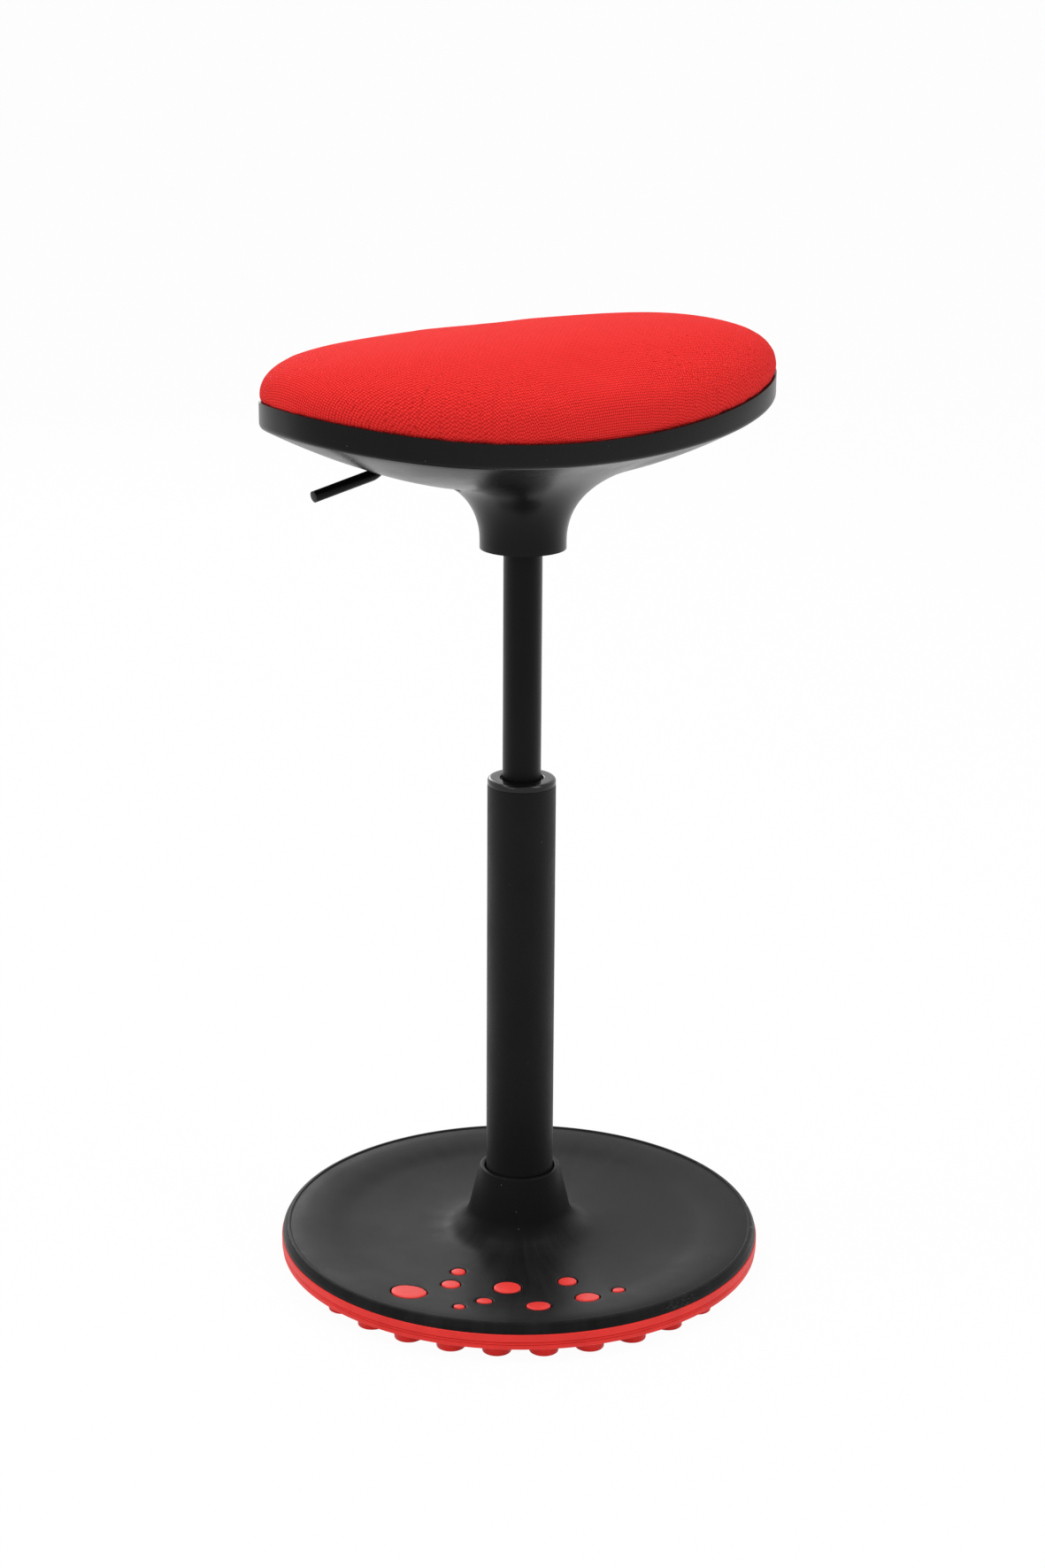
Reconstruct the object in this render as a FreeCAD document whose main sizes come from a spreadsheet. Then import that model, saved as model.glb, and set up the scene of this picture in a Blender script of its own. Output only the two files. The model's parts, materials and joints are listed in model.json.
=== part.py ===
import FreeCAD
import Part
import Sketcher
import math
import os

# A sit-stand stool: a round rocking base on rubber studs, a gas lift, and a saddle
# seat with a release lever. Millimetres, +Z up, origin on the floor on the column axis,
# the seat's width along X and its front towards -Y.

doc = FreeCAD.newDocument("stool")

# Driving sizes

sizes = {
    # rubber mat and its studs
    "studHeight": 10.0,
    "studRadius": 10.5,
    "studRound": 1.2,
    "studRowInset": 19.7,
    "studRowStep": 30.0,
    "webThickness": 3.0,
    "matRadius": 179.7,
    "matRimWidth": 6.5,
    "matRimOverPlate": 2.8,
    "matBoreGap": 3.0,
    "matGrooveWidth": 0.7,
    "matGrooveDepth": 0.5,
    "pegGap": 0.9,
    # steel plate and hub of the base
    "plateThickness": 6.0,
    "plateEdgeGap": 0.5,
    "hubWall": 2.0,
    "hubFlangeReach": 9.0,
    "hubFlangeRise": 5.0,
    "hubHeight": 53.0,
    "columnSink": 1.0,
    # moulded cover of the base
    "coverWall": 2.6,
    "coverGap": 0.5,
    "coverEdgeInset": 0.7,
    "crestInset": 5.0,
    "crestRise": 7.1,
    "dishRadius": 78.0,
    "crestWidth": 40.0,
    "dishBendRise": 2.9,
    "socketGap": 0.3,
    "socketRise": 51.1,
    "socketFlare": 8.7,
    "socketDrop": 36.2,
    "socketFootRadius": 16.0,
    "coverScrewRadius": 2.0,
    "coverScrewHeadRadius": 4.5,
    "coverScrewHeadHeight": 2.4,
    "coverScrewHeadGap": 0.1,
    "coverScrewInset": 13.7,
    # outer column
    "columnRadius": 25.0,
    "columnWall": 2.8,
    "columnLength": 359.6,
    "columnTaper": 0.8,
    "columnTaperLength": 50.0,
    "columnFloorRise": 6.0,
    "columnFloorThickness": 4.0,
    "bushHeadHeight": 5.0,
    "bushLength": 78.0,
    "bushMouthGap": 1.9,
    "bushMouthDepth": 3.0,
    "bushEdgeRound": 2.4,
    # thrust bearing and piston rod
    "slideGap": 0.05,
    "rodRadius": 5.0,
    "spigotStep": 0.5,
    "raceRadius": 12.5,
    "raceThickness": 1.5,
    "raceBoreGap": 0.7,
    "ballRadius": 2.0,
    "ballRowRadius": 9.0,
    "ballGap": 0.05,
    "cageThickness": 1.6,
    "cageWidth": 2.9,
    "bumpStopHeight": 10.0,
    "bumpStopRadius": 12.0,
    "liftRise": 90.0,
    "pistonTopGap": 2.05,
    "clipThickness": 1.2,
    "clipRadius": 8.0,
    "clipGrooveDepth": 0.9,
    "clipGapWidth": 5.0,
    "washerThickness": 0.8,
    "washerRadius": 9.0,
    "washerGap": 0.1,
    "rodEndLength": 3.0,
    "pistonHeight": 16.0,
    "sealGrooveWidth": 4.0,
    "sealGrooveDepth": 2.5,
    "pistonNutHeight": 4.0,
    "pistonNutRadius": 7.0,
    # pressure tube and its valve
    "tubeRadius": 14.0,
    "tubeWall": 1.7,
    "tubeLength": 414.0,
    "tubeShown": 170.5,
    "tubeConeDrop": 0.8,
    "tubeLipWidth": 2.3,
    "tubeLipHeight": 3.0,
    "tubeNoseWall": 2.7,
    "tubeNoseHeight": 52.0,
    "rodGuideHeight": 22.0,
    "rodSealHeight": 7.0,
    "valveHeadHeight": 8.0,
    "valveTopInset": 2.0,
    "pinRadius": 3.0,
    "pinShown": 6.0,
    "pinLength": 64.0,
    # carrier of the seat
    "carrierRise": 22.9,
    "carrierHubHeight": 44.0,
    "carrierHubWall": 5.0,
    "carrierTopGap": 2.0,
    "carrierPlateLength": 150.0,
    "carrierPlateWidth": 80.0,
    "carrierPlateThickness": 3.0,
    "carrierPlateCorner": 12.0,
    "carrierPlateBore": 8.0,
    "boltEndInset": 13.0,
    "boltSideInset": 12.0,
    "boltRadius": 3.0,
    "boltHeadRadius": 5.5,
    "boltHeadHeight": 4.0,
    "insertWall": 1.5,
    "insertLength": 12.0,
    # release lever
    "leverRadius": 4.0,
    "leverBossGap": 1.0,
    "leverPivotReach": 30.0,
    "leverBossRadius": 6.0,
    "leverBossWidth": 10.0,
    "leverPinRadius": 2.5,
    "leverKneeReach": 108.0,
    "leverKneeRun": 19.0,
    "leverKneeDrop": 12.0,
    "leverTipReach": 175.4,
    "leverTipDrop": 21.7,
    "leverBendRadius": 14.0,
    "leverNoseGap": 0.3,
    "bracketWall": 2.0,
    "bracketGap": 0.4,
    "bracketLength": 18.0,
    "bracketOverPin": 5.5,
    # seat shell
    "seatHalfWidth": 202.5,
    "seatFrontDepth": 101.7,
    "seatRearDepth": 115.8,
    "seatWidestLine": -5.5,
    "rimRise": 95.7,
    "rimEndRise": 23.8,
    "rimTilt": 1.45,
    "bandHeight": 16.0,
    "bandEndDrop": 1.6,
    "shellWall": 3.0,
    "neckRadius": 31.0,
    "neckStraight": 6.0,
    "flareRun": 35.4,
    "flareRise": 45.1,
    "flareFrontRise": 7.8,
    "shellScrewInset": 15.0,
    "shellScrewRadius": 2.2,
    "shellScrewHeadRadius": 4.0,
    "shellScrewHeadHeight": 3.0,
    "shellScrewWellGap": 1.5,
    "shellScrewFloor": 8.0,
    "shellBossWall": 2.5,
    "slotKneeLead": 2.0,
    "slotLength": 44.0,
    "slotSideGap": 4.5,
    # seat pan, foam and cover
    "panGap": 0.5,
    "panDrop": 4.0,
    "padSeatGap": 0.1,
    "panThickness": 5.0,
    "panBossWall": 3.5,
    "coverThickness": 1.5,
    "crownHeight": 57.7,
    "padPullIn": 3.0,
    "padLift": 0.8,
    # one length past a face for every cut
    "overrun": 1.0,
}

# Counts and shares

studRowCounts = (30, 24, 18)
ballCount = 8
coverScrewCount = 6
coverScrewTurn = 30.0
matGrooveShares = (0.30, 0.45)
socketMidShares = (0.46, 0.445)
seatRoundness = 2.3
flankCurveShare = 1.88
flankStraightShare = 0.53
flankSagShare = 0.05
stationShares = (0.0, 0.28, 0.52, 0.72, 0.86, 0.94, 0.98, 0.996)
padSideShare = 0.16
padEndPower = 24
# how far the socket's foot falls to the dish, and its round
footShares = (0.83, 1.0)
# where each section of the shell's flank is measured, across its depth
flankShares = (-1.0, -0.84, -0.68, -0.5, -0.3, 0.0, 0.3, 0.5, 0.68, 0.84, 1.0)
# directions at which each section of the pad's dome is measured
domeAngles = (180, 165, 150, 135, 120, 90, 60, 45, 30, 15, 0)
# heights of the flare's sections as shares of its rise
flareShares = (0.0, 0.2, 0.42, 0.62, 0.8, 0.92, 1.0)
# each peg: its place along X and Y and its radius, as shares of the mat's radius
pegShares = (
    (-0.464, -0.211, 0.0293),
    (-0.157, -0.545, 0.0375),
    (-0.562, -0.297, 0.0380),
    (-0.391, -0.451, 0.0551),
    (-0.759, -0.285, 0.0711),
    (-0.056, -0.752, 0.0250),
    (-0.198, -0.732, 0.0479),
    (-0.552, -0.515, 0.0318),
    (-0.409, -0.686, 0.0483),
    (-0.678, -0.519, 0.0225),
)

sheet = doc.addObject("Spreadsheet::Sheet", "dims")
for row, (word, number) in enumerate(sizes.items(), start=1):
    sheet.set("A%d" % row, word)
    sheet.set("B%d" % row, str(number))
    sheet.setAlias("B%d" % row, word)
doc.recompute()


# A size carries its value and the expression that binds it to the sheet.
class Size:
    def __init__(self, text, value):
        self.text = text
        self.value = float(value)

    def join(self, sign, other, value):
        return Size("(%s %s %s)" % (self.text, sign, other.text), value)

    def __add__(self, other):
        other = asSize(other)
        return self.join("+", other, self.value + other.value)

    def __sub__(self, other):
        other = asSize(other)
        return self.join("-", other, self.value - other.value)

    def __mul__(self, other):
        other = asSize(other)
        return self.join("*", other, self.value * other.value)

    def __truediv__(self, other):
        other = asSize(other)
        return self.join("/", other, self.value / other.value)

    def __neg__(self):
        return Size("(-1 * %s)" % self.text, -self.value)


def asSize(item):
    if isinstance(item, Size):
        return item
    return Size("%.9g" % item, item)


class Sheet:
    def __getattr__(self, word):
        return Size("dims." + word, sheet.get(word))


dim = Sheet()
zero = asSize(0)
nodes = {}


def keep(item, name):
    item.Label = name
    nodes[name] = item
    return item


# Helpers for turned and pressed pieces

def originPlane(body, role):
    for feature in body.Origin.OriginFeatures:
        if feature.Role == role:
            return feature
    return None


def pinPoint(sketch, index, end, across, up):
    for kind, item in (("DistanceX", across), ("DistanceY", up)):
        number = sketch.addConstraint(Sketcher.Constraint(kind, -1, 1, index, end, item.value))
        sketch.setExpression("Constraints[%d]" % number, item.text)


def arcCentre(start, end, radius, side):
    chord = end - start
    half = chord.Length / 2
    reach = math.sqrt(max(radius * radius - half * half, 0))
    normal = FreeCAD.Vector(-chord.y, chord.x, 0) / chord.Length
    return (start + end) / 2 + normal * reach * side


# corners: (across, up) or (across, up, radius, side), the arc leading to the next corner
def outlineSketch(body, name, plane, corners):
    sketch = body.newObject("Sketcher::SketchObject", name)
    sketch.AttachmentSupport = [(originPlane(body, plane), "")]
    sketch.MapMode = "FlatFace"
    points = [FreeCAD.Vector(c[0].value, c[1].value, 0) for c in corners]
    for i, corner in enumerate(corners):
        start = points[i]
        end = points[(i + 1) % len(points)]
        if len(corner) == 2:
            sketch.addGeometry(Part.LineSegment(start, end))
            continue
        radius = corner[2].value
        side = corner[3]
        centre = arcCentre(start, end, radius, side)
        circle = Part.Circle(centre, FreeCAD.Vector(0, 0, 1), radius)
        first = math.atan2(start.y - centre.y, start.x - centre.x)
        last = math.atan2(end.y - centre.y, end.x - centre.x)
        if side < 0:
            first, last = last, first
        sketch.addGeometry(Part.ArcOfCircle(circle, first, last))
    for i, corner in enumerate(corners):
        follower = (i + 1) % len(corners)
        backwards = len(corner) == 4 and corner[3] < 0
        nextBackwards = len(corners[follower]) == 4 and corners[follower][3] < 0
        here = 1 if backwards else 2
        there = 2 if nextBackwards else 1
        sketch.addConstraint(Sketcher.Constraint("Coincident", i, here, follower, there))
        pinPoint(sketch, i, 2 if backwards else 1, corner[0], corner[1])
        if len(corner) == 4:
            number = sketch.addConstraint(Sketcher.Constraint("Radius", i, corner[2].value))
            sketch.setExpression("Constraints[%d]" % number, corner[2].text)
    return sketch


def turned(name, corners):
    body = doc.addObject("PartDesign::Body", name)
    sketch = outlineSketch(body, name + "_profile", "XZ_Plane", corners)
    spin = body.newObject("PartDesign::Revolution", name + "_turned")
    spin.Profile = sketch
    spin.ReferenceAxis = (sketch, ["V_Axis"])
    spin.Angle = 360
    sketch.Visibility = False
    return body


def ring(name, inner, outer, low, high):
    return turned(name, [(inner, low), (outer, low), (outer, high), (inner, high)])


def cylinder(name, radius, low, high, across=zero, along=zero):
    item = doc.addObject("Part::Cylinder", name)
    item.setExpression("Radius", radius.text)
    item.setExpression("Height", (high - low).text)
    item.setExpression("Placement.Base.x", across.text)
    item.setExpression("Placement.Base.y", along.text)
    item.setExpression("Placement.Base.z", low.text)
    return item


def sidePin(name, radius, length, across, up):
    item = doc.addObject("Part::Cylinder", name)
    item.setExpression("Radius", radius.text)
    item.setExpression("Height", length.text)
    item.Placement.Rotation = FreeCAD.Rotation(FreeCAD.Vector(1, 0, 0), -90)
    item.setExpression("Placement.Base.x", across.text)
    item.setExpression("Placement.Base.y", (-length / 2).text)
    item.setExpression("Placement.Base.z", up.text)
    return item


def block(name, low, span):
    item = doc.addObject("Part::Box", name)
    for side, size in zip(("Length", "Width", "Height"), span):
        item.setExpression(side, size.text)
    for axis, place in zip("xyz", low):
        item.setExpression("Placement.Base." + axis, place.text)
    return item


def fuse(name, parts):
    item = doc.addObject("Part::MultiFuse", name)
    item.Shapes = parts
    item.Refine = True
    return item


def cut(name, base, tool):
    item = doc.addObject("Part::Cut", name)
    item.Base = base
    item.Tool = tool
    return item


def solidFeature(name, shape):
    item = doc.addObject("Part::Feature", name)
    item.Shape = shape
    return item


def copies(name, item, places):
    doc.recompute()
    shapes = []
    for place in places:
        shape = item.Shape.copy()
        shape.translate(place)
        shapes.append(shape)
    return solidFeature(name, Part.Compound(shapes))


def polarPlaces(radius, count, turn=0.0):
    places = []
    for i in range(count):
        angle = math.radians(turn) + 2 * math.pi * i / count
        places.append(FreeCAD.Vector(radius * math.cos(angle), radius * math.sin(angle), 0))
    return places


# Heights of the base

webTop = dim.studHeight + dim.webThickness
plateTop = webTop + dim.plateThickness
matTop = plateTop + dim.matRimOverPlate
dishTop = plateTop + dim.coverGap + dim.coverWall
crestTop = matTop + dim.crestRise
lipTop = dishTop + dim.socketRise
columnBottom = webTop + dim.columnSink
columnTop = columnBottom + dim.columnLength
capTop = columnTop + dim.bushHeadHeight
coverRadius = dim.matRadius - dim.coverEdgeInset
crestRadius = coverRadius - dim.crestInset
bendRadius = crestRadius - dim.crestWidth
hubRadius = dim.columnRadius + dim.hubWall
lipRadius = hubRadius + dim.socketGap + dim.coverWall
matBoreRadius = hubRadius + dim.matBoreGap
coverScrewPlaces = polarPlaces((dim.matRadius - dim.coverScrewInset).value, coverScrewCount, coverScrewTurn)


# Height of the cover's upper face at a radius on the dish
def dishHeight(radius):
    bend = bendRadius.value
    low = dishTop.value
    knee = low + dim.dishBendRise.value
    if radius < bend:
        run = max(radius - dim.dishRadius.value, 0) / (bend - dim.dishRadius.value)
        return low + (knee - low) * run * run
    run = (crestRadius.value - radius) / (crestRadius.value - bend)
    return crestTop.value - (crestTop.value - knee) * run * run


# Rubber mat: a web with a raised rim and pegs above, on three rows of studs

def rubberMat():
    rimInner = dim.matRadius - dim.matRimWidth
    rimHeight = matTop - dim.studHeight
    corners = [(matBoreRadius, dim.studHeight), (dim.matRadius, dim.studHeight)]
    for share in matGrooveShares:
        low = dim.studHeight + rimHeight * share
        corners.append((dim.matRadius, low))
        corners.append((dim.matRadius - dim.matGrooveDepth, low))
        corners.append((dim.matRadius - dim.matGrooveDepth, low + dim.matGrooveWidth))
        corners.append((dim.matRadius, low + dim.matGrooveWidth))
    corners += [(dim.matRadius, matTop), (rimInner, matTop), (rimInner, webTop), (matBoreRadius, webTop)]
    body = turned("mat_body", corners)
    pegs = []
    for i, (acrossShare, alongShare, radiusShare) in enumerate(pegShares):
        across = dim.matRadius * acrossShare
        along = dim.matRadius * alongShare
        radius = dim.matRadius * radiusShare
        top = asSize(dishHeight(math.hypot(across.value, along.value)))
        pegs.append(cylinder("peg_%d" % i, radius, dim.studHeight, top, across, along))
    relief = cylinder("mat_screw_relief", dim.coverScrewHeadRadius + dim.coverScrewHeadGap,
                      dim.studHeight - dim.overrun, webTop + dim.overrun)
    reliefs = copies("mat_screw_reliefs", relief, coverScrewPlaces)
    whole = fuse("mat_with_pegs", [body] + pegs)
    keep(cut("rubber_mat", whole, reliefs), "rubber_mat")

    stud = turned("stud", [
        (zero, zero),
        (dim.studRadius - dim.studRound, zero, dim.studRound, 1),
        (dim.studRadius, dim.studRound),
        (dim.studRadius, dim.studHeight),
        (zero, dim.studHeight)])
    places = []
    for row, count in enumerate(studRowCounts):
        places += polarPlaces((dim.matRadius - dim.studRowInset - dim.studRowStep * row).value, count)
    keep(copies("mat_studs", stud, places), "mat_studs")


def pegTools(name, low, high):
    tools = []
    for i, (acrossShare, alongShare, radiusShare) in enumerate(pegShares):
        radius = dim.matRadius * radiusShare + dim.pegGap
        tools.append(cylinder("%s_%d" % (name, i), radius, low, high,
                              dim.matRadius * acrossShare, dim.matRadius * alongShare))
    return tools


# Steel plate, hub sleeve and moulded cover

def baseSteel():
    edge = dim.matRadius - dim.matRimWidth - dim.plateEdgeGap
    disc = ring("plate_disc", hubRadius, edge, webTop, plateTop)
    low = webTop - dim.overrun
    high = plateTop + dim.overrun
    tools = pegTools("plate_hole", low, high)
    screwHole = cylinder("plate_screw_hole", dim.coverScrewRadius, low, high)
    tools.append(copies("plate_screw_holes", screwHole, coverScrewPlaces))
    keep(cut("base_plate", disc, fuse("plate_holes", tools)), "base_plate")

    taperTop = columnBottom + dim.columnTaperLength
    hubTop = webTop + dim.hubHeight
    keep(turned("hub_sleeve", [
        (dim.columnRadius - dim.columnTaper, webTop),
        (hubRadius, webTop),
        (hubRadius, plateTop),
        (hubRadius + dim.hubFlangeReach, plateTop),
        (hubRadius, plateTop + dim.hubFlangeRise),
        (hubRadius, hubTop),
        (dim.columnRadius, hubTop),
        (dim.columnRadius, taperTop),
        (dim.columnRadius - dim.columnTaper, columnBottom)]), "hub_sleeve")


def baseCover():
    wall = dim.coverWall
    knee = dishTop + dim.dishBendRise
    coneBottomRadius = lipRadius + dim.socketFlare
    coneBottom = lipTop - dim.socketDrop
    coneMidRadius = lipRadius + dim.socketFlare * socketMidShares[0]
    coneMid = lipTop - dim.socketDrop * socketMidShares[1]
    footEnd = coneBottomRadius + dim.socketFootRadius
    footDrop = coneBottom - dishTop
    footBottom = coneBottom - footDrop * footShares[0]
    dishRun = bendRadius - dim.dishRadius
    dishCurve = (dishRun * dishRun + dim.dishBendRise * dim.dishBendRise) / (dim.dishBendRise * 2)
    crestDrop = crestTop - knee
    crestCurve = (dim.crestWidth * dim.crestWidth + crestDrop * crestDrop) / (crestDrop * 2)
    edgeTop = crestTop - dim.crestInset
    footRound = dim.socketFootRadius * footShares[1]
    innerFoot = footRound + wall
    body = turned("cover_body", [
        (lipRadius - wall, lipTop),
        (lipRadius, lipTop),
        (coneMidRadius, coneMid),
        (coneBottomRadius, coneBottom, footRound, 1),
        (footEnd, footBottom),
        (dim.dishRadius, dishTop, dishCurve, 1),
        (bendRadius, knee, crestCurve, -1),
        (crestRadius, crestTop, dim.crestInset, -1),
        (coverRadius, edgeTop),
        (coverRadius, matTop),
        (coverRadius - wall, matTop),
        (coverRadius - wall, edgeTop, dim.crestInset - wall, 1),
        (crestRadius, crestTop - wall, crestCurve, 1),
        (bendRadius, knee - wall, dishCurve, -1),
        (dim.dishRadius, dishTop - wall),
        (footEnd, footBottom - wall, innerFoot, -1),
        (coneBottomRadius - wall, coneBottom),
        (coneMidRadius - wall, coneMid)])
    bossTop = asSize(dishHeight((dim.matRadius - dim.coverScrewInset).value)) - wall / 2
    boss = cylinder("cover_boss", dim.coverScrewRadius + wall, plateTop, bossTop)
    bossBore = cylinder("cover_boss_bore", dim.coverScrewRadius, plateTop - dim.overrun, bossTop - wall)
    whole = fuse("cover_with_bosses", [body, copies("cover_bosses", boss, coverScrewPlaces)])
    tools = pegTools("cover_hole", plateTop, crestTop + dim.overrun)
    tools.append(copies("cover_boss_bores", bossBore, coverScrewPlaces))
    keep(cut("base_cover", whole, fuse("cover_holes", tools)), "base_cover")

    head = dim.coverScrewHeadRadius
    shank = dim.coverScrewRadius
    screw = turned("cover_screw", [
        (zero, webTop - dim.coverScrewHeadHeight),
        (head, webTop - dim.coverScrewHeadHeight),
        (head, webTop),
        (shank, webTop),
        (shank, bossTop - wall),
        (zero, bossTop - wall)])
    keep(copies("cover_screws", screw, coverScrewPlaces), "cover_screws")


# Outer column with its guide bush and floor disc

spigotRadius = dim.rodRadius - dim.spigotStep


def column():
    bore = dim.columnRadius - dim.columnWall
    keep(turned("column_tube", [
        (bore, columnBottom),
        (dim.columnRadius - dim.columnTaper, columnBottom),
        (dim.columnRadius, columnBottom + dim.columnTaperLength),
        (dim.columnRadius, columnTop),
        (bore, columnTop)]), "column_tube")
    floorLow = columnBottom + dim.columnFloorRise
    keep(ring("column_floor", spigotRadius + dim.slideGap, bore,
              floorLow, floorLow + dim.columnFloorThickness), "column_floor")
    slide = dim.tubeRadius + dim.slideGap
    mouth = dim.tubeRadius + dim.bushMouthGap
    keep(turned("guide_bush", [
        (slide, columnTop - dim.bushLength),
        (bore, columnTop - dim.bushLength),
        (bore, columnTop),
        (dim.columnRadius, columnTop),
        (dim.columnRadius, capTop - dim.bushEdgeRound, dim.bushEdgeRound, 1),
        (dim.columnRadius - dim.bushEdgeRound, capTop),
        (mouth, capTop),
        (mouth, capTop - dim.bushMouthDepth),
        (slide, capTop - dim.bushMouthDepth)]), "guide_bush")


# Heights and bores of the gas lift

neckBottom = capTop + dim.tubeShown
hubLow = neckBottom + dim.carrierRise
hubHigh = hubLow + dim.carrierHubHeight
tubeTop = hubHigh - dim.carrierTopGap
tubeLow = tubeTop - dim.tubeLength
noseLow = tubeTop - dim.tubeNoseHeight
tubeBore = dim.tubeRadius - dim.tubeWall
noseBore = dim.tubeRadius - dim.tubeConeDrop - dim.tubeNoseWall
guideLow = tubeLow + dim.tubeLipHeight
guideHigh = guideLow + dim.rodGuideHeight
pistonLow = guideHigh + dim.rodSealHeight + dim.liftRise + dim.pistonTopGap


# Thrust bearing and piston rod, which turn on the column's floor

floorTop = columnBottom + dim.columnFloorRise + dim.columnFloorThickness
lowerRaceTop = floorTop + dim.raceThickness
ballMid = lowerRaceTop + dim.ballGap + dim.ballRadius
upperRaceLow = ballMid + dim.ballRadius
upperRaceTop = upperRaceLow + dim.raceThickness
bumpTop = upperRaceTop + dim.bumpStopHeight


def bearing():
    lowerBore = spigotRadius + dim.raceBoreGap
    keep(ring("lower_race", lowerBore, dim.raceRadius, floorTop, lowerRaceTop), "lower_race")
    keep(ring("upper_race", spigotRadius, dim.raceRadius, upperRaceLow, upperRaceTop), "upper_race")
    lift = FreeCAD.Vector(0, 0, ballMid.value)
    places = [place + lift for place in polarPlaces(dim.ballRowRadius.value, ballCount)]
    ball = doc.addObject("Part::Sphere", "ball")
    ball.setExpression("Radius", dim.ballRadius.text)
    keep(copies("bearing_balls", ball, places), "bearing_balls")
    cageBand = ring("cage_band", dim.ballRowRadius - dim.cageWidth, dim.ballRowRadius + dim.cageWidth,
                    ballMid - dim.cageThickness / 2, ballMid + dim.cageThickness / 2)
    pocket = cylinder("cage_pocket", dim.ballRadius + dim.ballGap,
                      -dim.cageThickness, dim.cageThickness)
    keep(cut("ball_cage", cageBand, copies("cage_pockets", pocket, places)), "ball_cage")
    keep(ring("bump_stop", dim.rodRadius, dim.bumpStopRadius, upperRaceTop, bumpTop), "bump_stop")


def pistonRod():
    floorLow = columnBottom + dim.columnFloorRise
    clipHigh = floorLow - dim.washerGap - dim.washerThickness
    clipLow = clipHigh - dim.clipThickness
    grooveRadius = spigotRadius - dim.clipGrooveDepth
    pistonHigh = pistonLow + dim.pistonHeight
    keep(turned("piston_rod", [
        (zero, clipLow - dim.rodEndLength),
        (spigotRadius, clipLow - dim.rodEndLength),
        (spigotRadius, clipLow),
        (grooveRadius, clipLow),
        (grooveRadius, clipHigh),
        (spigotRadius, clipHigh),
        (spigotRadius, upperRaceTop),
        (dim.rodRadius, upperRaceTop),
        (dim.rodRadius, pistonLow),
        (spigotRadius, pistonLow),
        (spigotRadius, pistonHigh + dim.pistonNutHeight),
        (zero, pistonHigh + dim.pistonNutHeight)]), "piston_rod")
    clip = ring("clip_ring", grooveRadius, dim.clipRadius, clipLow, clipHigh)
    gap = block("clip_gap", (zero, -dim.clipGapWidth / 2, clipLow - dim.overrun),
                (dim.clipRadius + dim.overrun, dim.clipGapWidth, dim.clipThickness + dim.overrun * 2))
    keep(cut("rod_clip", clip, gap), "rod_clip")
    washerHigh = clipHigh + dim.washerThickness
    keep(ring("rod_washer", spigotRadius, dim.washerRadius, clipHigh, washerHigh), "rod_washer")
    face = tubeBore - dim.slideGap
    grooveLow = pistonLow + (dim.pistonHeight - dim.sealGrooveWidth) / 2
    grooveHigh = grooveLow + dim.sealGrooveWidth
    keep(turned("piston", [
        (spigotRadius, pistonLow),
        (face, pistonLow),
        (face, grooveLow),
        (face - dim.sealGrooveDepth, grooveLow),
        (face - dim.sealGrooveDepth, grooveHigh),
        (face, grooveHigh),
        (face, pistonHigh),
        (spigotRadius, pistonHigh)]), "piston")
    keep(ring("piston_seal", face - dim.sealGrooveDepth, face, grooveLow, grooveHigh), "piston_seal")
    keep(ring("piston_nut", spigotRadius, dim.pistonNutRadius, pistonHigh,
              pistonHigh + dim.pistonNutHeight), "piston_nut")


# Pressure tube, its seals and valve, which rise and sink with the seat

def pressureTube():
    lip = tubeBore - dim.tubeLipWidth
    keep(turned("pressure_tube", [
        (lip, tubeLow),
        (dim.tubeRadius, tubeLow),
        (dim.tubeRadius, hubLow),
        (dim.tubeRadius - dim.tubeConeDrop, tubeTop),
        (noseBore, tubeTop),
        (noseBore, noseLow),
        (tubeBore, noseLow),
        (tubeBore, guideLow),
        (lip, guideLow)]), "pressure_tube")
    slide = dim.rodRadius + dim.slideGap
    keep(ring("rod_guide", slide, tubeBore, guideLow, guideHigh), "rod_guide")
    keep(ring("rod_seal", slide, tubeBore, guideHigh, guideHigh + dim.rodSealHeight), "rod_seal")
    pinBore = dim.pinRadius + dim.slideGap
    keep(turned("valve_body", [
        (pinBore, noseLow - dim.valveHeadHeight),
        (tubeBore, noseLow - dim.valveHeadHeight),
        (tubeBore, noseLow),
        (noseBore, noseLow),
        (noseBore, tubeTop - dim.valveTopInset),
        (pinBore, tubeTop - dim.valveTopInset)]), "valve_body")
    pinTop = tubeTop + dim.pinShown
    keep(ring("release_pin", zero, dim.pinRadius, pinTop - dim.pinLength, pinTop), "release_pin")


# Carrier: cone hub, plate, bolts and inserts

carrierLow = hubHigh
carrierHigh = carrierLow + dim.carrierPlateThickness
rimMiddle = neckBottom + dim.rimRise
leverRise = dim.bracketWall + dim.leverBossGap + dim.leverBossRadius
leverHeight = carrierHigh + leverRise


def boltPlaces():
    places = []
    for across in (-1, 1):
        for along in (-1, 1):
            places.append(FreeCAD.Vector(across * (dim.carrierPlateLength / 2 - dim.boltEndInset).value,
                                         along * (dim.carrierPlateWidth / 2 - dim.boltSideInset).value, 0))
    return places


def shellScrewPlaces():
    reach = (dim.carrierPlateLength / 2 - dim.shellScrewInset).value
    return [FreeCAD.Vector(-reach, 0, 0), FreeCAD.Vector(reach, 0, 0)]


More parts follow.
